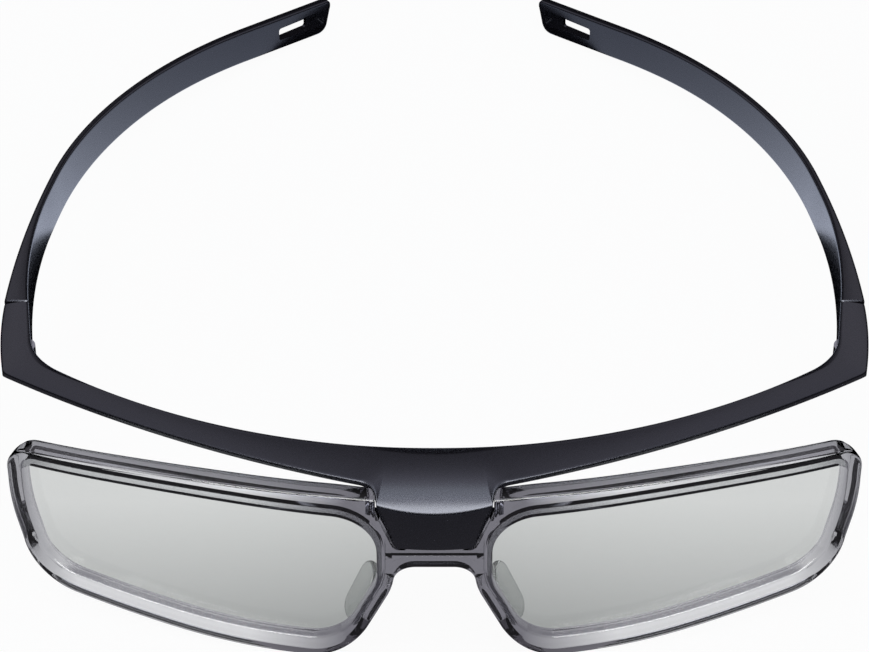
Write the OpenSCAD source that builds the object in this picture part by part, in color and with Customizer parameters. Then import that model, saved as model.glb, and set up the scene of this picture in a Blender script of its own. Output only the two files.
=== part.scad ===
// Passive 3-D viewing glasses with a painted brow bar, a clear lens frame and folding temples.
// Sizes are in millimetres. The shapes are drawn as worn: X to the right, Y to the back,
// Y = 0 where temple and bar part, Z = 0 on top of the bar. set_down() then lays them on a table.

/* [Brow bar] */
// Half width over the ends, where bar and temple part
half_width = 82.2; // [80:0.1:86]
// Distance from the parting line forward to the rear edge at the middle
bar_reach = 42.4; // [40:0.2:45]
// Radius of the rear edge seen from above
bar_back_r = 123; // [116:1:130]
// Radius of the front edge of a wing seen from above
wing_front_r = 252; // [220:5:320]
// Angle at which a wing leaves the tongue
wing_angle = 16; // [14:0.5:18]
// Height of the thin front edge of a wing
edge_h = 1.1; // [0.9:0.1:1.4]
// Fall of the top face from the rear edge to the front edge of a wing
wing_fall = 0.7; // [0.4:0.1:1.2]
// Height of the rear wall of a wing
back_wall_h = 5.5; // [4.5:0.1:6.5]
// Height of bar and temple where they part
end_h = 11; // [10.4:0.2:12]
// Width of bar and temple where they part
end_w = 4.7; // [4.5:0.1:5.2]
// Radius of the outer corner at each end, seen from above
outer_corner_r = 2.6; // [2:0.1:3.4]
// Radius of the inner corner at each end, seen from above
inner_corner_r = 13; // [11:0.5:16]
// Radius of the slightly bowed outer wall at each end
end_wall_r = 95; // [80:5:140]
// Slope of the inner wall at each end, seen from above
inner_angle = 7.5; // [4:0.5:9]
// Length over which a wing deepens towards its end
end_blend = 22; // [16:1:28]
// Rounding of the long edges
edge_r = 0.45; // [0.3:0.05:0.6]
// Width of the bevel along the rear edge, at the middle
bevel_w = 2.6; // [2:0.1:3.2]
// Fall of that bevel to the back
bevel_fall = 0.65; // [0.4:0.05:0.9]
// Share of that bevel at the inner corners
corner_bevel = 0.6; // [0.4:0.05:0.8]

/* [Tongue and apron] */
// Distance from the parting line forward to the crease at the middle
crease_reach = 56.1; // [55:0.1:57]
// Half width of the tongue at the crease
crease_half_w = 10.4; // [9.6:0.1:11]
// Radius of the crease seen from above
crease_r = 44; // [36:1:56]
// Fall of the top face from the rear edge to the crease
crease_fall = 4; // [3.4:0.1:4.6]
// Power by which the top face bends down to the crease
tongue_bend = 3; // [2:0.1:4]
// Radius where the tongue runs into a wing
tongue_fillet = 4.2; // [3.6:0.1:4.8]
// Thickness of the tongue behind the crease
tongue_t = 1.9; // [1.6:0.1:2.4]
// Height of the apron below the crease
apron_h = 8.7; // [7.8:0.1:9.4]
// Half width of the apron at its lower edge
apron_low_half_w = 7.15; // [6.4:0.05:7.8]
// Radius of the lower corners of the apron
apron_corner_r = 1.4; // [1:0.1:1.8]
// Thickness of the apron
apron_t = 2; // [1.6:0.1:2.4]
// Gap between the bar and the lens frame
seat_gap = 0.2; // [0.1:0.05:0.4]

/* [Lens frame] */
// Wrap radius of the rear face of the rims
wrap_r = 204; // [180:2:240]
// Set-back of the front face behind the crease, at the middle
frame_set = 0.1; // [0:0.05:0.4]
// Depth of the rims from front to back
rim_depth = 4; // [3.4:0.1:4.8]
// Width of the rims at the outer side and the lower nose corner
rim_w = 3.5; // [3.2:0.1:3.9]
// Width of the lower rim
rim_low_w = 4.8; // [4.2:0.1:5.2]
// Width of the upper rim at its highest point
rim_top_w = 4.2; // [3.8:0.1:4.6]
// Width of the upper rim beside the tongue
rim_root_w = 5; // [4.6:0.1:5.4]
// Width of the rim beside the nose
rim_nose_w = 3.1; // [2.8:0.1:3.5]
// Rounding of the front edge beside the lens
rim_lip_r = 0.8; // [0.5:0.05:0.9]
// Rounding of the outer front edge of the rims
rim_front_r = 1.5; // [1:0.1:1.7]
// Rounding of the outer rear edge of the rims
rim_back_r = 0.9; // [0.6:0.05:1.2]
// Depth of the front of the lens behind the front face of the rim
lens_recess = 2.4; // [2:0.1:2.8]
// Width of the lens seat
seat_w = 1.2; // [0.9:0.1:1.5]
// Thickness of a lens
lens_t = 0.9; // [0.7:0.1:1.2]
// Gap round the edge of a lens
lens_gap = 0.3; // [0.25:0.05:0.5]
// Gap between a lens and the lip in front of it
lip_gap = 0.12; // [0.1:0.02:0.2]
// Lower edge of the bridge below the top of the bar
bridge_low = 17.2; // [16:0.1:17.8]
// Rear face of the bridge behind the front face of the rims
bridge_depth = 5.4; // [4.8:0.1:6]
// Radius of the nose arch corners
arch_r = 4; // [3:0.2:5]

/* [Lens openings] */
// Nose side, measured round the wrap from the middle
open_nose = 10.3; // [10:0.1:11]
// Outer side, measured round the wrap from the middle
open_outer = 75; // [72:0.5:77]
// Highest point below the top of the bar
open_top = 3.8; // [3.4:0.1:4.4]
// Lowest corner below the top of the bar
open_low = 36; // [33:0.5:38]
// Fall of the upper edge from its highest point to the nose
top_nose_fall = 2.2; // [1.8:0.1:2.6]
// Radius of the upper nose corner
top_nose_r = 8.5; // [7.5:0.25:9.5]
// Place of the highest point, measured round the wrap from the middle
top_peak = 47; // [42:0.5:52]
// Radius of the upper edge at its highest point
top_peak_r = 300; // [220:10:400]
// Fall of the upper edge from its highest point to the outer corner
top_outer_fall = 0.8; // [0.4:0.1:1.2]
// Radius of the upper outer corner
top_outer_r = 1.8; // [1.2:0.1:2.4]
// Bend of the outer side below the highest point
side_bend_drop = 9.2; // [8.4:0.1:11]
// Radius of the bend of the outer side
side_bend_r = 40; // [25:5:50]
// Inward run of the outer side from its bend to the lower corner
side_run_in = 3.3; // [2.5:0.1:4]
// Lower outer corner above the lowest corner
low_outer_rise = 8; // [6:0.25:9]
// Radius of the lower outer corner
low_outer_r = 9; // [7:0.5:11]
// Place of the bend of the lower edge, measured round the wrap from the middle
low_bend = 36.4; // [35:0.2:42]
// Rise of the lower edge from the lowest corner to its bend
low_bend_rise = 0.95; // [0.6:0.05:1.2]
// Radius of the bend of the lower edge
low_bend_r = 150; // [100:10:160]
// Outward run of the nose side from its bend to the lowest corner
nose_run_out = 6.8; // [5.8:0.1:7.4]
// Radius of the lowest corner
low_nose_r = 9; // [7:0.5:9.5]
// Bend of the nose side above the lowest corner
nose_bend_rise = 15; // [13:0.5:17]
// Radius of the bend of the nose side
nose_bend_r = 10; // [6:1:16]

/* [Nose pads] */
// Length of a pad along the nose
pad_len = 12.5; // [11:0.5:14]
// Width of a pad from front to back
pad_w = 6; // [5:0.5:7]
// Thickness of a pad
pad_t = 1.4; // [1.1:0.1:1.8]
// Height of the middle of a pad below the top of the bar
pad_drop = 29; // [27:0.5:30]
// Splay of a pad away from the straight-back direction
pad_splay = 18; // [12:1:26]
// Lean of a pad, along the side of the nose
pad_lean = 25; // [20:1:30]
// Lean of a pad to the back at its upper end
pad_rake = 10; // [4:1:14]
// Radius of the peg that holds a pad
pad_peg_r = 0.5; // [0.4:0.05:0.6]
// Radius of the foot of a pad
pad_foot_r = 1.2; // [1:0.05:1.4]
// Length of the foot of a pad
pad_foot_len = 2.2; // [1.8:0.1:2.6]
// Gap between the foot of a pad and the rim
pad_stand = 0.15; // [0.1:0.05:0.3]
// Length of the peg that holds a pad
pad_peg_len = 2; // [1.4:0.1:2.4]

/* [Temples] */
// Gap where bar and temple part
parting_gap = 0.2; // [0.1:0.05:0.4]
// Inward angle of a temple at the parting line
temple_angle = 1.2; // [0:0.2:2.4]
// Radius of the first stretch of a temple seen from above
root_r = 270; // [220:10:340]
// Length of the first stretch
root_len = 45; // [38:1:52]
// Radius of the ear stretch seen from above
ear_r = 96; // [86:2:110]
// Length of the ear stretch
ear_len = 70; // [60:1:80]
// Length of the straight end
tip_len = 22; // [18:1:28]
// Fall of the upper edge for each millimetre to the back
droop = 0.058; // [0.03:0.005:0.09]
// Thickness of the thin part of a temple
temple_t = 1.5; // [1.2:0.1:1.9]
// Thickness of a temple at its tip
tip_t = 2; // [1.8:0.1:2.6]
// Length over which a temple thins down from its root
thin_len = 36; // [30:1:42]
// Height of a temple at its tip
tip_h = 7.8; // [7:0.1:8.6]
// Length over which a temple narrows to the height of its tip
taper_len = 104; // [90:2:118]
// Radius of the lower corner of the tip
tip_corner_r = 2.5; // [2:0.25:3]
// Radius of the upper corner of the tip
tip_top_r = 0.9; // [0.6:0.1:1]
// Slope of the end of the tip away from upright
end_lean = 14; // [8:1:20]
// Height of the tip at its very end
tip_end_h = 1.4; // [1.2:0.1:2]
// Width of the strap slot
slot_w = 3; // [2.4:0.1:3.4]
// Length of the strap slot
slot_len = 7.9; // [6:0.1:9]
// Radius of the corners of the strap slot and its groove
slot_corner_r = 0.6; // [0.4:0.1:0.9]
// Distance from the slot to the end of the temple
slot_end = 6; // [5:0.25:7]
// Width of the strap groove
groove_w = 3.6; // [3.2:0.1:4]
// Distance from the groove to the end of the temple
groove_end = 1.9; // [1.6:0.1:2.4]
// Depth of the strap groove
groove_d = 1.2; // [0.8:0.1:1.3]

/* [Hinges] */
// Distance from the parting line forward to the hinge axis
axis_reach = 11; // [10.4:0.1:12]
// Outer radius of the hinge knuckles
knuckle_r = 2.2; // [2:0.05:2.4]
// Height of each of the two front knuckles
front_knuckle_h = 2; // [1.8:0.1:2.1]
// Height of the temple knuckle
temple_knuckle_h = 2.2; // [2:0.1:2.4]
// Gap between knuckles along the axis
knuckle_gap = 0.1; // [0.05:0.05:0.15]
// Radius of the hinge screw
pivot_r = 0.7; // [0.6:0.05:0.85]
// Running clearance round the hinge screw
pivot_clear = 0.05; // [0.03:0.01:0.08]
// Radius of the head of the hinge screw
pivot_head_r = 1.5; // [1.3:0.05:1.7]
// Height of the head of the hinge screw
pivot_head_h = 0.8; // [0.6:0.1:1]
// Thickness of the hinge leaves
leaf_t = 1; // [0.8:0.05:1.15]
// Thickness of the bar above the hinge
lid_t = 1.6; // [1.4:0.1:1.8]
// Gap between the hinge and the bar above it
lid_gap = 0.3; // [0.2:0.05:0.4]
// Gap round the temple knuckle in the front leaf
swing_gap = 0.2; // [0.15:0.05:0.3]
// Clearance round the hinge inside the end of the bar
hinge_clear = 0.5; // [0.3:0.05:0.7]
// Gap round the moulded-in ends of the leaves
tang_gap = 0.05; // [0.03:0.01:0.1]
// Length of the moulded-in end of a leaf
tang_len = 3.4; // [2.8:0.1:4]
// Height of the end moulded into the bar
front_tang_h = 2; // [1.6:0.1:2.2]
// Height of the end moulded into the temple
temple_tang_h = 4.4; // [3.6:0.1:5]

/* [Bridge screws] */
// Distance of a bridge screw from the middle
screw_x = 4; // [3.5:0.1:4.6]
// Height of the bridge screws below the top of the bar
screw_drop = 9.6; // [9:0.1:10.4]
// Radius of the bosses on the apron
boss_r = 1.5; // [1.3:0.05:1.7]
// Radius of the bridge screws
screw_r = 0.6; // [0.5:0.05:0.7]
// Radius of the heads of the bridge screws
screw_head_r = 2.1; // [1.9:0.05:2.4]
// Height of the heads of the bridge screws
screw_head_h = 0.9; // [0.7:0.1:1.2]

/* [Hidden] */
$fn = 48;

// Small helpers
function mix(a, b, t) = a + (b - a) * t;
function clip(t) = min(1, max(0, t));
function ease(t) = clip(t) * clip(t) * (3 - 2 * clip(t));
function ray(a) = [cos(a), sin(a)];
function flat(lists) = [for (l = lists) each l];
function reversed(l) = [for (i = [len(l) - 1 : -1 : 0]) l[i]];
function flipped(ring) = [for (p = ring) [-p.x, p.y, p.z]];

// Skin over rings of points, each ring clockwise when seen from beyond the last one
module skin(rings, closed = false) {
    n = len(rings[0]);
    m = len(rings);
    sides = [
        for (i = [0 : closed ? m - 1 : m - 2], j = [0 : n - 1])
        let (a = i * n + j, b = i * n + (j + 1) % n)
        let (c = ((i + 1) % m) * n + (j + 1) % n, d = ((i + 1) % m) * n + j)
        each [[a, b, c], [a, c, d]]
    ];
    caps = closed ? [] : [
        [for (j = [n - 1 : -1 : 0]) j],
        [for (j = [0 : n - 1]) (m - 1) * n + j]
    ];
    polyhedron(flat(rings), concat(sides, caps));
}

// Plan of the bar: circles of the front edge, the outer wall and the corner that joins them
crease_c = [0, crease_r - crease_reach];
crease_turn = asin(crease_half_w / crease_r);
crease_end = crease_c + crease_r * ray(crease_turn - 90);
fillet_c = crease_end + [tongue_fillet, 0];
wing_root = fillet_c + tongue_fillet * ray(90 + wing_angle);
wing_c = wing_root + wing_front_r * ray(90 + wing_angle);
end_c = [half_width, 0] - end_wall_r * ray(temple_angle);
corner_c = meet(wing_c, wing_front_r - outer_corner_r, end_c, end_wall_r - outer_corner_r);
wing_end_a = heading(corner_c - wing_c);
wall_start_a = heading(corner_c - end_c);
back_c = [0, bar_back_r - bar_reach];
inner_x = half_width - end_w;
// Inner wall of an end: its run to the front, and the corner that joins it to the rear edge
inner_run = [-sin(inner_angle), -cos(inner_angle)];
inner_base = [inner_x, 0] + inner_corner_r * [-cos(inner_angle), sin(inner_angle)];
inner_off = (inner_base - back_c) * inner_run;
inner_far = bar_back_r - inner_corner_r;
inner_len = -inner_off + sqrt(pow(inner_off, 2) - pow(norm(inner_base - back_c), 2) + pow(inner_far, 2));
inner_c = inner_base + inner_len * inner_run;
inner_start_a = heading(inner_c - back_c);

function heading(v) = atan2(v.y, v.x);
// Where two circles meet, on the side of the larger X
function meet(c1, r1, c2, r2) =
    let (v = c2 - c1, d = norm(v), a = (d * d + r1 * r1 - r2 * r2) / (2 * d), h = sqrt(r1 * r1 - a * a))
    let (n = [v.y, -v.x] / d, p = c1 + v * (a / d))
    (p + n * h).x > (p - n * h).x ? p + n * h : p - n * h;
// The line of the front edge, carried on past the corner
function front_y(x) = wing_c.y - sqrt(wing_front_r * wing_front_r - pow(x - wing_c.x, 2));
// Height of the bar at a distance behind its front edge
function depth_h(d) = edge_h + (end_h - edge_h) * (1 - pow(1 - clip(d / -front_y(half_width)), 1.6));
function back_h(p) =
    let (h = mix(back_wall_h, end_h, ease((p.x - inner_x + end_blend) / end_blend)))
    min(depth_h(p.y - front_y(p.x)), h);

// Points of an arc that rounds the corner b between a and c
function corner_arc(a, b, c, r) =
    let (u = (a - b) / norm(a - b), w = (c - b) / norm(c - b), half = acos(u * w) / 2)
    let (o = b + (u + w) / norm(u + w) * r / sin(half))
    let (from = heading(b + u * r / tan(half) - o), to = heading(b + w * r / tan(half) - o))
    [for (i = [0 : 4]) o + r * ray(mix(from, to, i / 4))];
// Lower edge of the apron from the middle to the end of the crease: place across, drop below the crease
apron_arc = corner_arc([0, apron_h], [apron_low_half_w, apron_h], [crease_half_w, 0], apron_corner_r);
apron_edge = concat(
    [for (t = [0, 0.35, 0.7]) [apron_arc[0].x * t, apron_h]],
    apron_arc,
    [for (t = [1 / 3, 2 / 3, 1]) mix(apron_arc[4], [crease_half_w, 0], t)]
);

// Rear end of a section of the tongue, as a share of its place at the crease
tongue_fan = 0.7;

// Stations of the right half: front point, rear point, fall of the top, front height, whether in the tongue
stations = concat(
    [for (p = apron_edge)
        let (f = crease_c - [-p.x, sqrt(crease_r * crease_r - p.x * p.x)], fall = tongue_fall(f.y))
        [f, back_at(tongue_fan * f.x), fall, max(edge_h, crease_fall + p.y - fall), 1]],
    [for (i = [1 : 5])
        let (t = i / 5, f = fillet_c + tongue_fillet * ray(180 - (90 - wing_angle) * t))
        let (r = back_at(mix(tongue_fan * crease_half_w, wing_root.x - 0.8, t)))
        [f, r, mix(tongue_fall(f.y), wing_fall, t), edge_h, 1 - t]],
    [for (i = [1 : 11])
        let (t = i / 11, f = wing_c + wing_front_r * ray(mix(wing_angle - 90, wing_end_a, t)))
        let (a = mix(heading(back_at(wing_root.x - 0.8) - back_c), inner_start_a, t))
        [f, back_c + bar_back_r * ray(a), wing_fall, edge_h, 0]],
    [for (i = [1 : 5])
        let (t = i / 5, f = corner_c + outer_corner_r * ray(mix(wing_end_a, wall_start_a, t)))
        let (r = inner_c + inner_corner_r * ray(mix(inner_start_a, -inner_angle, t * 0.6)))
        [f, r, wing_fall, depth_h(f.y - front_y(f.x)), 0]],
    [for (i = [1 : 6])
        let (t = i / 6, f = end_c + end_wall_r * ray(mix(wall_start_a, temple_angle, t)))
        let (a = mix(inner_start_a, -inner_angle, 0.6 + 0.4 * i / 3))
        let (wall = [inner_x, 0] + inner_run * inner_len * (2 - i / 3))
        let (r = i < 4 ? inner_c + inner_corner_r * ray(a) : wall)
        [f, r, wing_fall, depth_h(f.y - front_y(f.x)), 0]]
);
function back_at(x) = [x, back_c.y - sqrt(bar_back_r * bar_back_r - x * x)];
// Fall of the top face of the tongue
function tongue_fall(y) = crease_fall * pow(clip((-bar_reach - y) / (crease_reach - bar_reach)), tongue_bend);
// Share of the bevel along the rear edge, which stands further out there
bevel_out = 1.2 * bevel_fall;
mid_half_w = 1.5 * crease_half_w;
corner_half_w = 0.6 * inner_corner_r;
function bevel_share(x) =
    ease(1 - x / mid_half_w) + corner_bevel * ease(1 - abs(x - inner_x + corner_half_w) / corner_half_w);

// Section of the bar between a front and a rear point, split underneath just behind the front
wing_lip = 1.1;
function bar_ring(s) =
    let (f = s[0], k = bevel_share(s[1].x), r = s[1] + (s[1] - f) / norm(s[1] - f) * bevel_out * k)
    let (fall = s[2], low = -fall - s[3], back = -back_h(s[1]), span = norm(f - r), e = edge_r)
    let (skin_low = max(-fall - tongue_t, low), in_v = 1 - mix(wing_lip, apron_t, s[4]) / span)
    let (line = function(v) mix(back, low, v), wing_v = in_v - 0.1 / span)
    let (top = function(v) -mix(wing_fall * v * v, tongue_fall(mix(r.y, f.y, v)), s[4]))
    let (w = mix(2 * e, bevel_w, k), edge_z = -bevel_fall * k)
    let (pts = [
        [0, edge_z - e],
        [0.3 * e / span, edge_z - 0.3 * e],
        [e / span, edge_z * (1 - e / w)],
        [w / span, top(w / span)],
        for (v = [0.25, 0.45, 0.65, 0.82]) [v, top(v)],
        [1 - e / span, top(1 - e / span)],
        [1 - 0.3 * e / span, -fall - 0.3 * e],
        [1, -fall - e],
        [1, low],
        [in_v, mix(line(in_v), low, s[4])],
        [wing_v, mix(line(wing_v), skin_low, s[4])],
        [0, back]
    ])
    [for (p = pts) let (q = mix(r, f, p[0])) [q.x, q.y, p[1]]];

// Hinge places, from the same values on both sides
axis_x = inner_x;
axis_y = -axis_reach;
hinge_top = -lid_t - lid_gap;
hinge_h = 2 * front_knuckle_h + temple_knuckle_h + 2 * knuckle_gap;
leaf_x = axis_x + knuckle_r - leaf_t;
pocket_x = axis_x + knuckle_r + hinge_clear;
plate_y = axis_y - knuckle_r;

// Corners of a lens opening: place round the wrap, height and radius
open_corners = [
    [[open_nose, -open_top - top_nose_fall], top_nose_r],
    [[top_peak, -open_top], top_peak_r],
    [[open_outer, -open_top - top_outer_fall], top_outer_r],
    [[open_outer, -open_top - side_bend_drop], side_bend_r],
    [[open_outer - side_run_in, -open_low + low_outer_rise], low_outer_r],
    [[low_bend, -open_low + low_bend_rise], low_bend_r],
    [[open_nose + nose_run_out, -open_low], low_nose_r],
    [[open_nose, -open_low + nose_bend_rise], nose_bend_r]
];
corner_steps = [8, 4, 5, 3, 6, 4, 7, 3];
edge_steps = [4, 4, 2, 2, 3, 2, 2, 2];
frame_reach = crease_reach - frame_set;
wrap_c = wrap_r + rim_depth - frame_reach;

// Rounded outline: for every station a point, the way it faces out and the rim width
function corner_at(i) = open_corners[(i + 8) % 8];
function corner_info(i) =
    let (p = corner_at(i)[0], a = corner_at(i - 1)[0], b = corner_at(i + 1)[0])
    let (u = (p - a) / norm(p - a), w = (b - p) / norm(b - p), r = corner_at(i)[1])
    let (n0 = heading([-u.y, u.x]), n1 = heading([-w.y, w.x]))
    let (turn = n0 - n1 < -180 ? n0 - n1 + 360 : n0 - n1)
    [p - u * r * tan(turn / 2) - r * ray(n0), n0, turn, r];
// Width of the rim at a place of the opening, by the direction in which it faces out
function top_width(x) =
    let (start = open_nose + top_nose_r)
    x < top_peak ? mix(rim_root_w, rim_top_w, clip((x - start) / (top_peak - start)))
                 : mix(rim_top_w, rim_w, (x - top_peak) / (open_outer - top_peak));
function rim_width(p, n) =
    let (side = n.x > 0 ? rim_w : rim_nose_w)
    n.y > 0 ? mix(side, top_width(p.x), n.y * n.y) : mix(side, rim_low_w, pow(-n.y, n.x > 0 ? 1 : 4));
// Width round the upper nose corner, which is square outside
function root_width(t) =
    let (r = top_nose_r, turn = corner_info(0)[2])
    min((r + rim_nose_w) / cos(turn * t), (r + rim_root_w) / cos(turn * (1 - t))) - r;
outline = flat([
    for (i = [0 : 7])
    let (c = corner_info(i), d = corner_info(i + 1))
    let (arc = [for (k = [0 : corner_steps[i]])
        let (t = k / corner_steps[i], n = ray(c[1] - c[2] * t), p = c[0] + c[3] * n)
        [p, n, i == 0 ? root_width(t) : rim_width(p, n)]])
    let (from = arc[corner_steps[i]], to = d[0] + d[3] * ray(d[1]))
    concat(arc, [for (k = [1 : edge_steps[i]])
        let (p = mix(from[0], to, k / (edge_steps[i] + 1)))
        [p, from[1], rim_width(p, from[1])]])
]);

// A place on the wrapped frame: distance round the wrap, height, distance in front of the rear face
function wrapped(p, front) =
    let (a = p.x / wrap_r * 180 / PI, r = wrap_r + front)
    [r * sin(a), wrap_c - r * cos(a), p.y];
lens_front = rim_depth - lens_recess;
function rim_ring(s) =
    let (w = s[2], d = rim_depth, e = rim_lip_r, g = rim_front_r, b = rim_back_r)
    let (pts = [
        [0, lens_front], [0, d - e], [0.3 * e, d - 0.3 * e], [e, d],
        [w - g, d], [w - 0.5 * g, d - 0.14 * g], [w - 0.14 * g, d - 0.5 * g], [w, d - g],
        [w, b], [w - 0.3 * b, 0.3 * b], [w - b, 0], [seat_w, 0], [seat_w, lens_front]
    ])
    [for (p = pts) wrapped(s[0] + s[1] * p[0], p[1])];

// Temple: place, heading, thickness, upper edge and height at a length along its outer face
temple_len = root_len + ear_len + tip_len;
function along(p, h, r, l) = [p + r * (ray(h + l / r * 180 / PI) - ray(h)), h + l / r * 180 / PI];
root_end = along([half_width, 0], temple_angle, root_r, root_len);
ear_end = along(root_end[0], root_end[1], ear_r, ear_len);
function temple_at(s) =
    s < root_len ? along([half_width, 0], temple_angle, root_r, s) :
    s < root_len + ear_len ? along(root_end[0], root_end[1], ear_r, s - root_len) :
    [ear_end[0] + (s - root_len - ear_len) * ray(ear_end[1] + 90), ear_end[1]];
function temple_thick(s) =
    s < thin_len ? mix(end_w, temple_t, 1 - pow(1 - s / thin_len, 1.8)) :
    mix(temple_t, tip_t, ease((s - thin_len) / (temple_len - thin_len)));
function temple_top(s) = -droop * temple_at(s)[0].y - round_rise(s - temple_len + tip_top_r, tip_top_r);
function temple_h(s) = mix(end_h, tip_h, ease(s / taper_len));
function temple_low(s) = -droop * temple_at(s)[0].y - temple_h(s) + low_rise(s - temple_len + tip_run);
// Rise of a rounded corner, and of the lower corner that runs on into the sloping end
function round_rise(u, r) = u < 0 ? 0 : r - sqrt(max(0, r * r - u * u));
end_turn = 90 - end_lean;
corner_run = tip_corner_r * sin(end_turn);
corner_rise = tip_corner_r * (1 - cos(end_turn));
tip_run = corner_run + (tip_h - tip_end_h - corner_rise) / tan(end_turn);
function low_rise(u) =
    u < corner_run ? round_rise(u, tip_corner_r) : corner_rise + (u - corner_run) * tan(end_turn);
temple_steps = concat(
    [for (i = [0 : 8]) mix(parting_gap, thin_len, i / 8)],
    [for (i = [1 : 18]) mix(thin_len, temple_len - tip_run, i / 18)],
    [for (i = [1 : 5]) temple_len - tip_run + tip_corner_r * sin(end_turn * i / 5)],
    [for (t = [1, 0.4, 0]) temple_len - tip_top_r * t]
);
function temple_ring(s) =
    let (at = temple_at(s), in = -ray(at[1]), t = temple_thick(s), z1 = temple_top(s), z0 = temple_low(s))
    let (e = min(edge_r * 1.3, (z1 - z0) / 3))
    let (pts = [
        [0, z0 + e], [0.3 * e, z0 + 0.3 * e], [e, z0],
        [t - e, z0], [t - 0.3 * e, z0 + 0.3 * e], [t, z0 + e],
        [t, z1 - e], [t - 0.3 * e, z1 - 0.3 * e], [t - e, z1],
        [e, z1], [0.3 * e, z1 - 0.3 * e], [0, z1 - e]
    ])
    [for (p = pts) let (q = at[0] + in * p[0]) [q.x, q.y, p[1]]];

// How the glasses lie on a table: on the rear lower edges of the rims and on the temple tips
rim_feet = [for (s = outline) let (r = rim_ring(s)) each [r[7], r[8], r[9], r[10]]];
tip_feet = [
    for (s = temple_steps)
    if (s > temple_len / 2)
        let (r = temple_ring(s)) each [r[1], r[2], r[3], r[4]]
];
slope = max([for (a = rim_feet) min([for (b = tip_feet) (b.z - a.z) / (b.y - a.y)])]);
rest_tilt = atan(slope);
function tilted(p) =
    let (c = cos(rest_tilt), s = sin(rest_tilt))
    [p.x, p.y * c + p.z * s, p.z * c - p.y * s];
rest_z = min([for (p = concat(rim_feet, tip_feet)) tilted(p).z]);
front_most = min([for (s = outline, p = rim_ring(s)) tilted(p).y]);
back_most = max([for (s = temple_steps, p = temple_ring(s)) tilted(p).y]);
module set_down() {
    translate([0, -(front_most + back_most) / 2, -rest_z])
        rotate([-rest_tilt, 0, 0])
            children();
}
module both() {
    children();
    mirror([1, 0, 0]) children();
}

module box(x0, x1, y0, y1, z0, z1) {
    translate([x0, y0, z0]) cube([x1 - x0, y1 - y0, z1 - z0]);
}
module disc(r, z0, z1) {
    translate([axis_x, axis_y, z0]) cylinder(r = r, h = z1 - z0);
}
// A cylinder that runs from front to back
module along_y(r, x, z, y0, y1) {
    translate([x, y0, z]) rotate([-90, 0, 0]) cylinder(r = r, h = y1 - y0);
}

module brow_bar() {
    half = [for (s = stations) bar_ring(s)];
    color([0.2, 0.2, 0.23]) set_down() difference() {
        union() {
            skin(concat(reversed(half), [for (i = [1 : len(half) - 1]) flipped(half[i])]));
            both() along_y(boss_r, screw_x, -screw_drop, apron_back_y - 0.6, bridge_back_y - 0.1);
        }
        both() {
            box(axis_x - 9, pocket_x, plate_y - tang_gap, 1, -end_h - 5, -lid_t);
            box(leaf_x - tang_gap, leaf_x + leaf_t + tang_gap, plate_y - tang_len - tang_gap, plate_y,
                hinge_top - front_tang_h - tang_gap, hinge_top + tang_gap);
            along_y(screw_r + pivot_clear, screw_x, -screw_drop, apron_back_y - 0.4, bridge_back_y + 1);
        }
    }
}
apron_back_y = crease_c.y - sqrt(pow(crease_r - apron_t, 2) - screw_x * screw_x);
bridge_half_w = open_nose - rim_nose_w + 1.6;
bridge_front_y = -frame_reach + 0.25;
bridge_back_y = -frame_reach + bridge_depth;

// Outline of the tongue seen from above, grown by the seat gap
module tongue_plan() {
    g = seat_gap;
    tip = [for (i = [-6 : 6]) crease_c + (crease_r + g) * ray(-90 + crease_turn * i / 6)];
    side = [for (i = [0 : 6]) fillet_c + (tongue_fillet - g) * ray(180 - (90 - wing_angle) * i / 6)];
    polygon(concat(tip, side, [[wing_root.x, -bar_reach], [-wing_root.x, -bar_reach]],
        reversed([for (p = side) [-p.x, p.y]])));
}
// Outline of the apron seen from the front, grown by the seat gap
module apron_face() {
    g = seat_gap;
    low = -crease_fall - apron_h - g;
    side = [crease_half_w + g, -crease_fall - g];
    arc = corner_arc([0, low], [apron_low_half_w + g, low], side, apron_corner_r + g);
    half = concat(arc, [side, [crease_half_w + g, 2]]);
    polygon(concat(half, reversed([for (p = half) [-p.x, p.y]])));
}
// Nose arch: stations from the right rim round to the left one, and the rounded section at each
nose_c = corner_info(7)[0];
arch_z = -bridge_low - arch_r;
arch_x = nose_c.x - sqrt(pow(nose_bend_r + rim_nose_w + arch_r, 2) - pow(nose_c.y - arch_z, 2));
arch_a = heading(nose_c - [arch_x, arch_z]);
arch_half = [
    for (i = [0 : 7])
    let (a = mix(arch_a, 90, i / 7), r = arch_r + (i == 0 ? 0.2 : 0))
    [[arch_x, arch_z] + r * ray(a), -ray(a)]
];
arch_line = concat(arch_half, reversed([for (s = arch_half) [[-s[0].x, s[0].y], [-s[1].x, s[1].y]]]));
function arch_ring(s) =
    let (room = (open_nose - seat_w - 0.1 - abs(s[0].x)) / max(0.01, abs(s[1].x)))
    let (w = min(rim_nose_w - 0.2, room), d = rim_depth, g = rim_front_r, b = rim_back_r)
    let (pts = [
        [-w, 0.1], [-w, d - 0.1], [-g, d - 0.1], [-0.5 * g, d - 0.14 * g],
        [-0.14 * g, d - 0.5 * g], [0, d - g], [0, b], [-0.3 * b, 0.3 * b], [-b, 0.1]
    ])
    [for (p = pts) wrapped(s[0] + s[1] * p[0], p[1])];
// Turns a drawing in X and Z into a block that runs from front to back
module front_to_back(y0, y1) {
    translate([0, y1, 0]) rotate([90, 0, 0]) linear_extrude(y1 - y0) children();
}

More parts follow.
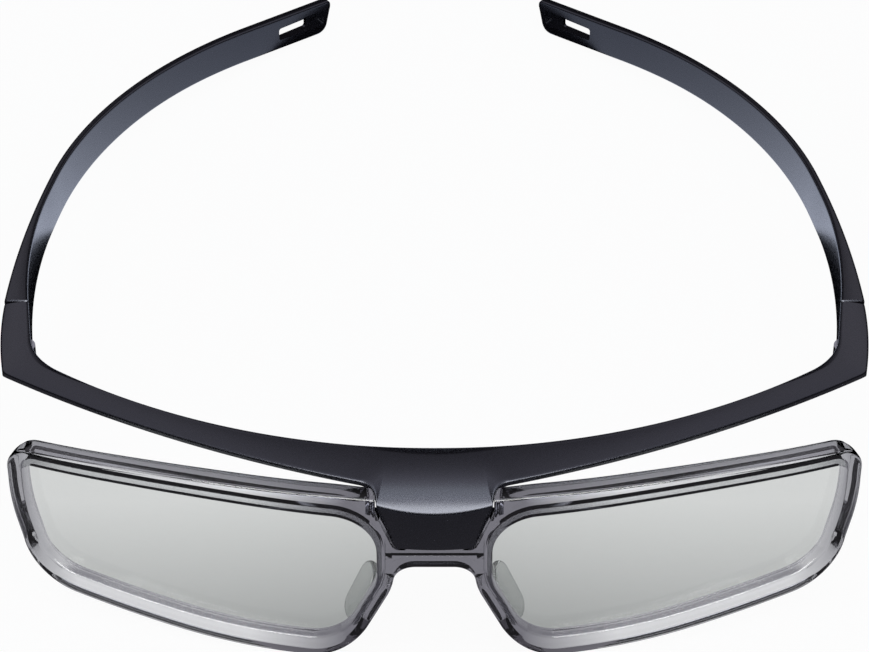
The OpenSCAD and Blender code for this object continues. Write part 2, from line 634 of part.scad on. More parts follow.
module lens_frame() {
    rim = [for (s = outline) rim_ring(s)];
    color([0.55, 0.56, 0.58, 0.6]) set_down() difference() {
        union() {
            skin(rim, true);
            skin([for (r = rim) reversed(flipped(r))], true);
            skin([for (s = arch_line) arch_ring(s)]);
            box(-bridge_half_w, bridge_half_w, bridge_front_y, bridge_back_y,
                1.2 - bridge_low, -crease_fall - 1);
        }
        translate([0, 0, -crease_fall - tongue_t - seat_gap]) linear_extrude(20) tongue_plan();
        difference() {
            front_to_back(-frame_reach - 5, bridge_back_y + 5) apron_face();
            translate([crease_c.x, crease_c.y, -30])
                cylinder(r = crease_r - apron_t - seat_gap, h = 40, $fn = 180);
        }
        both() {
            along_y(boss_r + seat_gap, screw_x, -screw_drop, -frame_reach, bridge_back_y + 1);
            pad_peg(pivot_clear);
        }
    }
}

// One lens, cut from a wrapped sheet by its outline
module lens(side) {
    grow = seat_w - lens_gap;
    front_r = wrap_r + lens_front - lip_gap;
    mid = lens_front - lip_gap - lens_t / 2;
    face = [for (s = outline) let (p = wrapped(s[0] + s[1] * grow, mid)) [p.x, p.z]];
    color([0.7, 0.72, 0.7, 0.6]) set_down() mirror([side < 0 ? 1 : 0, 0, 0]) intersection() {
        front_to_back(-frame_reach - 5, 0) polygon(face);
        translate([0, wrap_c, -60]) difference() {
            cylinder(r = front_r, h = 80, $fn = 360);
            translate([0, 0, -1]) cylinder(r = front_r - lens_t, h = 82, $fn = 360);
        }
    }
}
module left_lens() { lens(-1); }
module right_lens() { lens(1); }

// Place of a pad: on the rear face of the rim beside the nose
nose_low = open_corners[6][0];
nose_high = open_corners[7][0];
nose_line = (nose_high - nose_low) / norm(nose_high - nose_low);
nose_out = [-nose_line.y, nose_line.x];
pad_at = wrapped(mix(nose_low, nose_high, (-pad_drop - nose_low.y) / (nose_high.y - nose_low.y))
    + nose_out * (seat_w + rim_nose_w) / 2, 0);
module pad_place() {
    translate(pad_at) children();
}
module pad_peg(grow) {
    pad_place() translate([0, -pad_peg_len - grow, 0]) rotate([-90, 0, 0])
        cylinder(r = pad_peg_r + grow, h = pad_peg_len + 1);
}
module nose_pad(side) {
    ends = pad_len / 2 - pad_w / 2;
    color([0.8, 0.82, 0.84, 0.6]) set_down() mirror([side < 0 ? 1 : 0, 0, 0]) {
        pad_peg(0);
        pad_place() translate([0, pad_stand, 0]) rotate([-90, 0, 0])
            cylinder(r = pad_foot_r, h = pad_foot_len);
        pad_place() rotate([0, -pad_lean, 0]) rotate([-pad_rake, 0, 0]) rotate([0, 0, -pad_splay])
            translate([-pad_t / 2, pad_foot_len / 2, 0]) rotate([0, 90, 0]) linear_extrude(pad_t) {
                for (x = [-ends, ends]) translate([x, pad_w / 2]) circle(pad_w / 2);
                translate([-ends, 0]) square([2 * ends, pad_w]);
            }
    }
}
module left_nose_pad() { nose_pad(-1); }
module right_nose_pad() { nose_pad(1); }

// One temple, with the seat of its leaf, the strap slot and the groove
module temple(side) {
    tip = temple_at(temple_len);
    mid_s = temple_len - slot_end - slot_len / 2;
    mid_z = (temple_top(mid_s) + temple_low(mid_s)) / 2;
    color([0.22, 0.22, 0.25]) set_down() mirror([side < 0 ? 1 : 0, 0, 0]) difference() {
        skin(reversed([for (s = temple_steps) temple_ring(s)]));
        box(leaf_x - tang_gap, leaf_x + leaf_t + tang_gap, -1, parting_gap + tang_len + tang_gap,
            leaf_mid_z - temple_tang_h / 2 - tang_gap, leaf_mid_z + temple_tang_h / 2 + tang_gap);
        translate([tip[0].x, tip[0].y, mid_z]) rotate([0, 0, tip[1]]) {
            slot_cut(-6, 6, -slot_end - slot_len, -slot_end, slot_w);
            slot_cut(-6, groove_d - tip_t, -slot_end - slot_w / 2, -groove_end, groove_w);
        }
    }
}
// A cut across a temple, with rounded corners: from x0 to x1 through it, from y0 to y1 along it
module slot_cut(x0, x1, y0, y1, w) {
    q = slot_corner_r;
    corners = [[y1 - q, w / 2 - q], [y0 + q, w / 2 - q], [y0 + q, q - w / 2], [y1 - q, q - w / 2]];
    translate([x0, 0, 0]) rotate([90, 0, 90]) linear_extrude(x1 - x0)
        polygon([for (i = [0 : 3], a = [0 : 22.5 : 90]) corners[i] + q * ray(90 * i + a)]);
}
leaf_mid_z = hinge_top - hinge_h / 2;
module left_temple() { temple(-1); }
module right_temple() { temple(1); }

// Front leaf: two knuckles, a plate behind the corner and an end moulded into the bar
module front_leaf(side) {
    low = hinge_top - hinge_h;
    color([0.75, 0.76, 0.78]) set_down() mirror([side < 0 ? 1 : 0, 0, 0]) difference() {
        union() {
            for (z = [hinge_top - front_knuckle_h, low]) {
                disc(knuckle_r, z, z + front_knuckle_h);
                box(axis_x, leaf_x + leaf_t, plate_y, axis_y, z, z + front_knuckle_h);
            }
            difference() {
                box(axis_x, leaf_x + leaf_t, plate_y, plate_y + leaf_t, low, hinge_top);
                disc(knuckle_r + swing_gap, low + front_knuckle_h, hinge_top - front_knuckle_h);
            }
            box(leaf_x, leaf_x + leaf_t, plate_y - tang_len, plate_y + leaf_t,
                hinge_top - front_tang_h, hinge_top);
        }
        disc(pivot_r + pivot_clear, low - 1, hinge_top + 1);
    }
}
module left_front_leaf() { front_leaf(-1); }
module right_front_leaf() { front_leaf(1); }

// Temple leaf: one knuckle between the front ones, a plate and an end moulded into the temple
module temple_leaf(side) {
    low = leaf_mid_z - temple_knuckle_h / 2;
    color([0.68, 0.69, 0.72]) set_down() mirror([side < 0 ? 1 : 0, 0, 0]) difference() {
        union() {
            disc(knuckle_r, low, low + temple_knuckle_h);
            box(leaf_x, leaf_x + leaf_t, axis_y, 0, low, low + temple_knuckle_h);
            box(leaf_x, leaf_x + leaf_t, axis_y + knuckle_r + 0.3, parting_gap + tang_len,
                leaf_mid_z - temple_tang_h / 2, leaf_mid_z + temple_tang_h / 2);
        }
        disc(pivot_r + pivot_clear, low - 1, low + temple_knuckle_h + 1);
    }
}
module left_temple_leaf() { temple_leaf(-1); }
module right_temple_leaf() { temple_leaf(1); }

// Hinge screw, put in from below, with a driver slot
module hinge_screw(side) {
    low = hinge_top - hinge_h - 0.05;
    color([0.6, 0.6, 0.62]) set_down() mirror([side < 0 ? 1 : 0, 0, 0]) difference() {
        union() {
            disc(pivot_r, low - 0.1, hinge_top);
            disc(pivot_head_r, low - pivot_head_h, low);
        }
        box(axis_x - 0.2, axis_x + 0.2, axis_y - 2, axis_y + 2,
            low - pivot_head_h - 1, low - pivot_head_h + 0.35);
    }
}
module left_hinge_screw() { hinge_screw(-1); }
module right_hinge_screw() { hinge_screw(1); }

// Two screws behind the bridge, alike
module bridge_screws() {
    seat = bridge_back_y + 0.05;
    color([0.6, 0.6, 0.62]) set_down() both() difference() {
        union() {
            along_y(screw_r, screw_x, -screw_drop, apron_back_y, seat + 0.05);
            along_y(screw_head_r, screw_x, -screw_drop, seat, seat + screw_head_h);
        }
        for (a = [0, 90])
            translate([screw_x, seat + screw_head_h, -screw_drop]) rotate([0, a, 0])
                cube([2.4, 0.8, 0.45], center = true);
    }
}

brow_bar();
lens_frame();
left_lens();
right_lens();
left_nose_pad();
right_nose_pad();
left_temple();
right_temple();
left_front_leaf();
right_front_leaf();
left_temple_leaf();
right_temple_leaf();
left_hinge_screw();
right_hinge_screw();
bridge_screws();
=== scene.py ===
import math
import bmesh
import bpy
from mathutils import Matrix, Vector


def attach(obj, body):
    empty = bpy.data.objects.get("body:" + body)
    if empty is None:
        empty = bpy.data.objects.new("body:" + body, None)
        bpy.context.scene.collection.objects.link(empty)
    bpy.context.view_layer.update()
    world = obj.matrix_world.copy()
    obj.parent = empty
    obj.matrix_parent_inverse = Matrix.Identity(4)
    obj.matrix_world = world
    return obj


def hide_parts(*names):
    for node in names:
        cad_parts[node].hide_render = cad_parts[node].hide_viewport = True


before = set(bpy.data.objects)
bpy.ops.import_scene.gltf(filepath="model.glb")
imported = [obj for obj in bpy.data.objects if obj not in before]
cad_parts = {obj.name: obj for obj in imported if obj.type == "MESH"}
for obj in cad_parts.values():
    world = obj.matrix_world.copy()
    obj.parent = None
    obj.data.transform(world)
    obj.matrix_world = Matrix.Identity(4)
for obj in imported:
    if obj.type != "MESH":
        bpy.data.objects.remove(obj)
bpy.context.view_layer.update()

print("frame loaded,", len(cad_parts), "CAD nodes")

# The glasses are modelled as worn, in millimetres: X right, Y back, Z up, zero on the parting line.
# layDown then puts each finished mesh on the table, in metres.
rest = {"tilt": 8.96172, "back": 26.69135, "lift": 31.9676}
layDown = (
    Matrix.Scale(0.001, 4)
    @ Matrix.Translation((0, -rest["back"], rest["lift"]))
    @ Matrix.Rotation(math.radians(-rest["tilt"]), 4, "X")
)


def mix(a, b, t):
    return a + (b - a) * t


def clip(t):
    return min(1.0, max(0.0, t))


def ease(t):
    return clip(t) ** 2 * (3 - 2 * clip(t))


def ray(angle):
    return Vector((math.cos(math.radians(angle)), math.sin(math.radians(angle))))


def heading(v):
    return math.degrees(math.atan2(v.y, v.x))


def steps(count):
    return [i / count for i in range(1, count + 1)]


def rounded(before, corner, after, count=6):
    # a corner softened by a parabola that leaves both sides smoothly
    out = []
    for i in range(count + 1):
        t = i / count
        out.append(tuple(mix(mix(a, b, t), mix(b, c, t), t) for a, b, c in zip(before, corner, after)))
    return out


def newPiece(name, points, faces):
    mesh = bpy.data.meshes.new(name)
    mesh.from_pydata([tuple(p) for p in points], [], faces)
    piece = bpy.data.objects.new(name, mesh)
    bpy.context.scene.collection.objects.link(piece)
    turnOutward(mesh)
    return piece


def turnOutward(mesh):
    bm = bmesh.new()
    bm.from_mesh(mesh)
    bmesh.ops.remove_doubles(bm, verts=bm.verts, dist=1e-5)
    bmesh.ops.recalc_face_normals(bm, faces=bm.faces)
    bm.to_mesh(mesh)
    bm.free()


def loft(name, rings, closed=False):
    n, m = len(rings[0]), len(rings)
    faces = []
    for i in range(m if closed else m - 1):
        for j in range(n):
            up, on = (i + 1) % m, (j + 1) % n
            faces.append((i * n + j, i * n + on, up * n + on, up * n + j))
    if not closed:
        faces += [tuple(range(n)), tuple(range((m - 1) * n, m * n))]
    return newPiece(name, [p for ring in rings for p in ring], faces)


def block(name, low, high):
    x, y, z = zip(low, high)
    points = [(x[i], y[j], z[k]) for i in (0, 1) for j in (0, 1) for k in (0, 1)]
    faces = [(0, 1, 3, 2), (4, 6, 7, 5), (0, 4, 5, 1), (2, 3, 7, 6), (0, 2, 6, 4), (1, 5, 7, 3)]
    return newPiece(name, points, faces)


def band(n):
    # faces between two rows of n points
    return [(i, (i + 1) % n, n + (i + 1) % n, n + i) for i in range(n)]


def prism(name, outline, place):
    # place(point, side) gives the two ends of the prism
    n = len(outline)
    points = [place(p, side) for side in (0, 1) for p in outline]
    return newPiece(name, points, [tuple(range(n)), tuple(range(n, 2 * n))] + band(n))


def rod(name, radius, x, z, y0, y1, sides=48):
    outline = [radius * ray(360 * i / sides) for i in range(sides)]
    return prism(name, outline, lambda p, side: (x + p.x, (y0, y1)[side], z + p.y))


def joined(piece, other, operation):
    # exact Boolean, applied at once
    modifier = piece.modifiers.new("joined", "BOOLEAN")
    modifier.operation = operation
    modifier.solver = "EXACT"
    modifier.object = other
    settle(piece)
    bpy.data.objects.remove(other)
    return piece


def settle(piece):
    # modifiers become plain mesh
    result = bpy.data.meshes.new_from_object(piece.evaluated_get(bpy.context.evaluated_depsgraph_get()))
    piece.modifiers.clear()
    old, piece.data = piece.data, result
    bpy.data.meshes.remove(old)
    result.name = piece.name
    return piece


def mirrored(points):
    return [(-p[0], p[1], p[2]) for p in points]


def toLeft(piece):
    piece.data.transform(Matrix.Scale(-1, 4, (1, 0, 0)))
    turnOutward(piece.data)


def finishPiece(piece, material, body, nodes, sharp=32):
    mesh = piece.data
    mesh.transform(layDown)
    mesh.shade_smooth()
    mesh.set_sharp_from_angle(angle=math.radians(sharp))
    mesh.materials.clear()
    mesh.materials.append(material)
    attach(piece, body)
    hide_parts(*nodes)
    print("made", piece.name, len(mesh.polygons), "faces")
    return piece


# Helpers for materials and node trees

def hexColour(code):
    parts = [int(code[i:i + 2], 16) / 255 for i in (1, 3, 5)]
    return tuple(p / 12.92 if p <= 0.04045 else ((p + 0.055) / 1.055) ** 2.4 for p in parts) + (1.0,)


def addNode(tree, kind, settings=None):
    # a setting is a property of the node, a constant for an input, or a socket to link to it
    node = tree.nodes.new(kind)
    for key, value in (settings or {}).items():
        if isinstance(key, str) and hasattr(node, key):
            setattr(node, key, value)
        elif isinstance(value, bpy.types.NodeSocket):
            tree.links.new(value, node.inputs[key])
        else:
            node.inputs[key].default_value = value
    return node


def calc(tree, operation, *values):
    return addNode(tree, "ShaderNodeMath", {"operation": operation, **dict(enumerate(values))}).outputs[0]


def ramp(tree, value, start, end, low=0.0, high=1.0):
    span = {"From Min": start, "From Max": end, "To Min": low, "To Max": high}
    return addNode(tree, "ShaderNodeMapRange", {"Value": value, **span}).outputs[0]


def blend(tree, share, first, second):
    return addNode(tree, "ShaderNodeMix", {"data_type": "RGBA", 0: share, 6: first, 7: second}).outputs[2]


def objectPlace(tree):
    return addNode(tree, "ShaderNodeTexCoord").outputs["Object"]


def axesOf(tree, vector):
    return addNode(tree, "ShaderNodeSeparateXYZ", {"Vector": vector}).outputs


def newMaterial(name):
    material = bpy.data.materials.new(name)
    material.use_nodes = True
    material.node_tree.nodes.clear()
    return material, material.node_tree


def surfaced(material, shader, volume=None):
    parts = {"Surface": shader.outputs[0]}
    if volume:
        parts["Volume"] = volume.outputs[0]
    addNode(material.node_tree, "ShaderNodeOutputMaterial", parts)
    return material


def perMetre(millimetres):
    return 1000 / millimetres


def noise(tree, size, detail, place):
    settings = {"Scale": perMetre(size), "Detail": detail, "Vector": place}
    return addNode(tree, "ShaderNodeTexNoise", settings).outputs["Fac"]


def newTree(name, **inputs):
    tree = bpy.data.node_groups.new(name, "GeometryNodeTree")
    tree.is_modifier = True
    for label, kind in {"Geometry": "Geometry", **inputs, "Finish": "Material"}.items():
        tree.interface.new_socket(label, in_out="INPUT", socket_type="NodeSocket" + kind)
    tree.interface.new_socket("Geometry", in_out="OUTPUT", socket_type="NodeSocketGeometry")
    return tree, addNode(tree, "NodeGroupInput").outputs


def endTree(tree, geometry, finish):
    real = addNode(tree, "GeometryNodeRealizeInstances", {"Geometry": geometry})
    clad = addNode(tree, "GeometryNodeSetMaterial", {"Geometry": real.outputs[0], "Material": finish})
    addNode(tree, "NodeGroupOutput", {0: clad.outputs[0]})
    return tree


def joinAxes(tree, **axes):
    return addNode(tree, "ShaderNodeCombineXYZ", axes).outputs[0]


def runTree(piece, tree, values):
    modifier = piece.modifiers.new(tree.name, "NODES")
    modifier.node_group = tree
    for item in tree.interface.items_tree:
        if item.item_type == "SOCKET" and item.in_out == "INPUT" and item.name in values:
            modifier[item.identifier] = values[item.name]
    return settle(piece)


# Sprayed ABS: charcoal lacquer with fine aluminium flake, satin, so broad soft highlights with a fine sparkle
paint = {
    "dark": "#040306", "light": "#17151b", "flake": 0.15, "flakeShare": 0.75, "cloud": 9.0, "metal": 0.1, "ior": 1.5,
    "roughness": 0.27, "vary": 0.05, "bump": 0.2, "bumpDepth": 0.00003, "tint": "#dfe7ff", "coat": 0.6,
    "coatRoughness": 0.24,
}


def paintedAbs():
    material, tree = newMaterial("satinFlakePaintOnAbs")
    place = objectPlace(tree)
    # the flake is drawn coarser than the real one, to show
    flake = addNode(tree, "ShaderNodeTexVoronoi", {"Scale": perMetre(paint["flake"]), "Vector": place})
    grain = addNode(tree, "ShaderNodeSeparateColor", {"Color": flake.outputs["Color"]}).outputs
    haze = calc(tree, "MULTIPLY", noise(tree, paint["cloud"], 2.0, place), 1 - paint["flakeShare"])
    tone = calc(tree, "MULTIPLY_ADD", grain["Red"], paint["flakeShare"], haze)
    colour = blend(tree, tone, hexColour(paint["dark"]), hexColour(paint["light"]))
    rough = ramp(tree, grain["Green"], 0, 1, paint["roughness"] - paint["vary"], paint["roughness"] + paint["vary"])
    bump = addNode(tree, "ShaderNodeBump", {
        "Strength": paint["bump"], "Distance": paint["bumpDepth"], "Height": grain["Blue"]})
    return surfaced(material, addNode(tree, "ShaderNodeBsdfPrincipled", {
        "Base Color": colour, "Metallic": paint["metal"], "Roughness": rough, "IOR": paint["ior"],
        "Normal": bump.outputs[0], "Specular Tint": hexColour(paint["tint"]),
        "Coat Weight": paint["coat"], "Coat Roughness": paint["coatRoughness"]}))


# Smoked polycarbonate: polished injection moulding, clear but dark where light runs a long way inside it
# open is the clear tint; the darker tint and the nose colour are painted shade
smoke = {
    "colour": "#8c8a92", "density": 55.0, "ior": 1.58, "roughness": 0.01, "roughSpan": (0.5, 1.5), "flow": 14.0,
    "open": "#f2f3f5", "shadedTint": "#99999f", "nose": "#828189", "noseShadeX": (0.016, 0.034), "endShadeX": (0.066, 0.077),
    "upFacingShade": (0.75, 0.95),
}


def smokedPolycarbonate():
    material, tree = newMaterial("smokedPolycarbonate")
    place = objectPlace(tree)
    flow = noise(tree, smoke["flow"], 1.0, place)
    rough = ramp(tree, flow, 0, 1, *(smoke["roughness"] * k for k in smoke["roughSpan"]))
    # painted shade: the tint darkens toward the bridge and the outer ends, and on upward faces
    out = calc(tree, "ABSOLUTE", axesOf(tree, place)["X"])
    ends = ramp(tree, out, *smoke["endShadeX"])
    middle = ramp(tree, out, *reversed(smoke["noseShadeX"]))
    facing = axesOf(tree, addNode(tree, "ShaderNodeNewGeometry").outputs["Normal"])
    share = calc(tree, "MAXIMUM", ends, ramp(tree, facing["Z"], *smoke["upFacingShade"]))
    outer = blend(tree, share, hexColour(smoke["open"]), hexColour(smoke["shadedTint"]))
    shader = addNode(tree, "ShaderNodeBsdfPrincipled", {
        "Base Color": blend(tree, middle, outer, hexColour(smoke["nose"])), "Roughness": rough,
        "Transmission Weight": 1.0, "IOR": smoke["ior"]})
    inside = addNode(tree, "ShaderNodeVolumeAbsorption", {
        "Color": hexColour(smoke["colour"]), "Density": smoke["density"]})
    return surfaced(material, shader, inside)


# Polarising film laminated on cellulose triacetate: neutral grey, with painted shade that darkens it toward the lower
# edge and the nose
film = {
    "light": "#d7d9d8", "dark": "#989b9a", "topZ": 0.036, "lowZ": 0.004, "height": 0.77, "outerX": 0.07,
    "across": 0.51, "roughness": 0.01, "ior": 1.49,
}


def polariserFilm():
    material, tree = newMaterial("polarisingFilmLens")
    at = axesOf(tree, objectPlace(tree))
    # painted shade: darker toward the lower edge and toward the nose
    height = ramp(tree, at["Z"], film["lowZ"], film["topZ"])
    across = ramp(tree, calc(tree, "ABSOLUTE", at["X"]), 0, film["outerX"], 0, film["across"])
    share = calc(tree, "MULTIPLY_ADD", height, film["height"], across)
    colour = blend(tree, share, hexColour(film["dark"]), hexColour(film["light"]))
    return surfaced(material, addNode(tree, "ShaderNodeBsdfPrincipled", {
        "Base Color": colour, "Transmission Weight": 1.0, "Roughness": film["roughness"], "IOR": film["ior"]}))


# Clear silicone: moulded, soft, slightly hazy with a dull gloss
silicone = {
    "colour": "#f0f2f1", "roughness": 0.2, "roughSpan": (0.7, 1.3), "haze": 3.0, "clear": 0.9, "ior": 1.41,
}


def clearSilicone():
    material, tree = newMaterial("clearSilicone")
    haze = noise(tree, silicone["haze"], 2.0, objectPlace(tree))
    rough = ramp(tree, haze, 0, 1, *(silicone["roughness"] * k for k in silicone["roughSpan"]))
    return surfaced(material, addNode(tree, "ShaderNodeBsdfPrincipled", {
        "Base Color": hexColour(silicone["colour"]), "Roughness": rough,
        "Transmission Weight": silicone["clear"], "IOR": silicone["ior"]}))


# Stainless steel: turned knuckles and rolled leaves, brushed along the leaf, so bright with fine streaks
steel = {"dark": "#a9abb0", "light": "#c9cbcf", "brush": 0.12, "stretch": 0.08, "roughness": 0.26, "vary": 0.08}


def hingeSteel():
    material, tree = newMaterial("brushedStainlessSteel")
    drawn = addNode(tree, "ShaderNodeMapping", {"Scale": (1.0, steel["stretch"], 1.0), "Vector": objectPlace(tree)})
    streak = noise(tree, steel["brush"], 3.0, drawn.outputs[0])
    colour = blend(tree, streak, hexColour(steel["dark"]), hexColour(steel["light"]))
    rough = ramp(tree, streak, 0, 1, steel["roughness"] - steel["vary"], steel["roughness"] + steel["vary"])
    return surfaced(material, addNode(tree, "ShaderNodeBsdfPrincipled", {
        "Base Color": colour, "Metallic": 1.0, "Roughness": rough}))


paintMaterial = paintedAbs()
smokeMaterial = smokedPolycarbonate()
filmMaterial = polariserFilm()
siliconeMaterial = clearSilicone()
steelMaterial = hingeSteel()
print("materials ready")

# Brow bar
bar = {
    "halfWidth": 82.2, "reach": 42.4, "backR": 123, "wingR": 252, "wingAngle": 16, "edgeH": 1.1, "wingFall": 0.7,
    "backWallH": 5.5, "endH": 11, "endW": 4.7, "outerR": 2.6, "innerR": 13, "endWallR": 95, "innerAngle": 7.5,
    "endBlend": 22, "edgeR": 0.45, "creaseReach": 56.1, "creaseHalfW": 10.4, "creaseR": 44, "creaseFall": 4,
    "tongueBend": 3, "tongueFan": 0.7, "fillet": 4.2, "tongueT": 1.9, "apronH": 8.7, "apronLowHalfW": 7.15,
    "apronR": 1.4, "apronT": 2, "wingLip": 1.1, "bevelW": 2.6, "bevelFall": 0.65, "cornerBevel": 0.6,
    "templeAngle": 1.2, "lowEdgeR": 0.25, "endRound": 0.22, "sideRound": 0.45, "risePower": 1.6, "midBevel": 1.5,
    "innerBevel": 0.6, "bevelOut": 1.2, "rootBack": 0.8, "innerShare": 0.6, "bevelBlend": (0.85, 1.12),
    "skinStep": 0.1, "dropShare": 0.6, "lowEdgeLift": 0.2,
}
hinge = {
    "reach": 11, "knuckleR": 2.2, "frontH": 2, "templeH": 2.2, "gap": 0.1, "lidT": 1.6, "lidGap": 0.3, "clear": 0.5,
    "tangGap": 0.05, "pocketW": 9, "screwGap": 0.05,
}
bridge = {
    "seatGap": 0.2, "low": 17.2, "depth": 5.4, "archR": 4, "archSink": 0.2, "screwX": 4, "screwDrop": 9.6,
    "screwGap": 0.05, "bossR": 1.5, "bossSink": 0.6, "bossShort": 0.1, "setBack": 0.1, "frontIn": 0.25, "landOut": 1.6,
    "landRise": 1.2, "landDrop": 1,
}


def circlesMeet(c1, r1, c2, r2):
    # the outer one of the two points where two circles cross
    v = c2 - c1
    d = v.length
    a = (d * d + r1 * r1 - r2 * r2) / (2 * d)
    h = math.sqrt(r1 * r1 - a * a)
    n, p = Vector((v.y, -v.x)) / d, c1 + v * (a / d)
    return max(p + n * h, p - n * h, key=lambda q: q.x)


creaseC = Vector((0, bar["creaseR"] - bar["creaseReach"]))
creaseTurn = math.degrees(math.asin(bar["creaseHalfW"] / bar["creaseR"]))
filletC = creaseC + bar["creaseR"] * ray(creaseTurn - 90) + Vector((bar["fillet"], 0))
wingRoot = filletC + bar["fillet"] * ray(90 + bar["wingAngle"])
wingC = wingRoot + bar["wingR"] * ray(90 + bar["wingAngle"])
endC = Vector((bar["halfWidth"], 0)) - bar["endWallR"] * ray(bar["templeAngle"])
cornerC = circlesMeet(wingC, bar["wingR"] - bar["outerR"], endC, bar["endWallR"] - bar["outerR"])
wingEndA, wallStartA = heading(cornerC - wingC), heading(cornerC - endC)
backC = Vector((0, bar["backR"] - bar["reach"]))
innerX = bar["halfWidth"] - bar["endW"]
innerRun = -Vector((math.sin(math.radians(bar["innerAngle"])), math.cos(math.radians(bar["innerAngle"]))))
innerBase = Vector((innerX, 0)) + bar["innerR"] * Vector((innerRun.y, -innerRun.x))
innerOff = (innerBase - backC).dot(innerRun)
innerRoot = innerOff ** 2 - (innerBase - backC).length_squared + (bar["backR"] - bar["innerR"]) ** 2
innerLen = -innerOff + math.sqrt(innerRoot)
innerC = innerBase + innerLen * innerRun
innerStartA = heading(innerC - backC)


def frontY(x):
    return wingC.y - math.sqrt(bar["wingR"] ** 2 - (x - wingC.x) ** 2)


def depthH(d):
    return mix(bar["edgeH"], bar["endH"], 1 - (1 - clip(d / -frontY(bar["halfWidth"]))) ** bar["risePower"])


def backH(p):
    wall = mix(bar["backWallH"], bar["endH"], ease((p.x - innerX + bar["endBlend"]) / bar["endBlend"]))
    return min(depthH(p.y - frontY(p.x)), wall)


def backAt(x):
    return Vector((x, backC.y - math.sqrt(bar["backR"] ** 2 - x * x)))


def cornerArc(a, b, c, r, count=10):
    # arc that rounds the corner b between a and c
    u, w = (a - b).normalized(), (c - b).normalized()
    half = u.angle(w) / 2
    centre = b + (u + w).normalized() * r / math.sin(half)
    start, end = (heading(b + way * r / math.tan(half) - centre) for way in (u, w))
    return [centre + r * ray(mix(start, end, i / count)) for i in range(count + 1)]


def apronEdge():
    # place across and drop below the crease, from the middle to the end of the crease
    end = Vector((bar["creaseHalfW"], 0))
    arc = cornerArc(Vector((0, bar["apronH"])), Vector((bar["apronLowHalfW"], bar["apronH"])), end, bar["apronR"])
    low = [Vector((arc[0].x * t, bar["apronH"])) for t in [0] + steps(12)[:-1]]
    return low + arc + [mix(arc[-1], end, t) for t in steps(12)]


def tongueFall(y):
    return bar["creaseFall"] * clip((-bar["reach"] - y) / (bar["creaseReach"] - bar["reach"])) ** bar["tongueBend"]


def bevelShare(x):
    # the bevel of the rear edge shows at the middle and at the inner corners
    cornerHalf = bar["innerBevel"] * bar["innerR"]
    corner = bar["cornerBevel"] * ease(1 - abs(x - innerX + cornerHalf) / cornerHalf)
    return ease(1 - x / (bar["midBevel"] * bar["creaseHalfW"])) + corner


def barStations():
    # front point, rear point, fall of the top, front height, share of the tongue
    out = []
    rootX = wingRoot.x - bar["rootBack"]
    innerA = lambda share: mix(innerStartA, -bar["innerAngle"], share)
    for p in apronEdge():
        f = Vector((p.x, creaseC.y - math.sqrt(bar["creaseR"] ** 2 - p.x ** 2)))
        fall = tongueFall(f.y)
        out.append((f, backAt(bar["tongueFan"] * f.x), fall, max(bar["edgeH"], bar["creaseFall"] + p.y - fall), 1))
    for t in steps(24):
        f = filletC + bar["fillet"] * ray(180 - (90 - bar["wingAngle"]) * t)
        r = backAt(mix(bar["tongueFan"] * bar["creaseHalfW"], rootX, t))
        out.append((f, r, mix(tongueFall(f.y), bar["wingFall"], t), bar["edgeH"], 1 - t))
    rootA = heading(backAt(rootX) - backC)
    for t in steps(44):
        f = wingC + bar["wingR"] * ray(mix(bar["wingAngle"] - 90, wingEndA, t))
        out.append((f, backC + bar["backR"] * ray(mix(rootA, innerStartA, t)), bar["wingFall"], bar["edgeH"], 0))
    for t in steps(14):
        f = cornerC + bar["outerR"] * ray(mix(wingEndA, wallStartA, t))
        r = innerC + bar["innerR"] * ray(innerA(t * bar["innerShare"]))
        out.append((f, r, bar["wingFall"], depthH(f.y - frontY(f.x)), 0))
    for t in steps(18):
        f = endC + bar["endWallR"] * ray(mix(wallStartA, bar["templeAngle"], t))
        if t < 0.5:
            r = innerC + bar["innerR"] * ray(innerA(mix(bar["innerShare"], 1, 2 * t)))
        else:
            r = Vector((innerX, 0)) + innerRun * innerLen * (2 - 2 * t)
        out.append((f, r, bar["wingFall"], depthH(f.y - frontY(f.x)), 0))
    return out


def barSection(f, r, fall, drop, tongue):
    low, back, share = -fall - drop, -backH(r), bevelShare(r.x)
    r = r + (r - f).normalized() * bar["bevelOut"] * bar["bevelFall"] * share
    span = (f - r).length
    e, q = bar["edgeR"], bar["lowEdgeR"]
    bevel, edgeZ = mix(2 * e, bar["bevelW"], share), -bar["bevelFall"] * share
    front = e + bar["sideRound"] * 4 * tongue * (1 - tongue)  # softer round the sides of the tongue
    inV = 1 - mix(bar["wingLip"], bar["apronT"], tongue) / span
    wingV = inV - bar["skinStep"] / span
    skinLow = max(-fall - bar["tongueT"], low)
    under = lambda v: mix(back, low, v)
    top = lambda v: -mix(bar["wingFall"] * v * v, tongueFall(mix(r.y, f.y, v)), tongue)
    first, last = bevel / span, 1 - front / span
    pts = rounded((0, edgeZ - e), (0, edgeZ), (e / span, edgeZ * (1 - e / bevel)))
    near, far = mix(e, bevel, bar["bevelBlend"][0]), first * bar["bevelBlend"][1]
    pts += rounded((near / span, edgeZ * (1 - near / bevel)), (first, top(first)), (far, top(far)), 4)
    pts += [(v, top(v)) for v in (mix(far, last, s) for s in steps(18)[:-1])]
    pts += rounded((last, top(last)), (1, -fall), (1, -fall - min(front, drop * bar["dropShare"])))
    pts += rounded((1, low + q), (1, low), (1 - q / span, low + q * bar["lowEdgeLift"]), 3)
    pts += [(inV, mix(under(inV), low, tongue)), (wingV, mix(under(wingV), skinLow, tongue))]
    pts += rounded((q / span, under(q / span)), (0, back), (0, back + q), 3)
    return [(*(r + (f - r) * v), z) for v, z in pts]


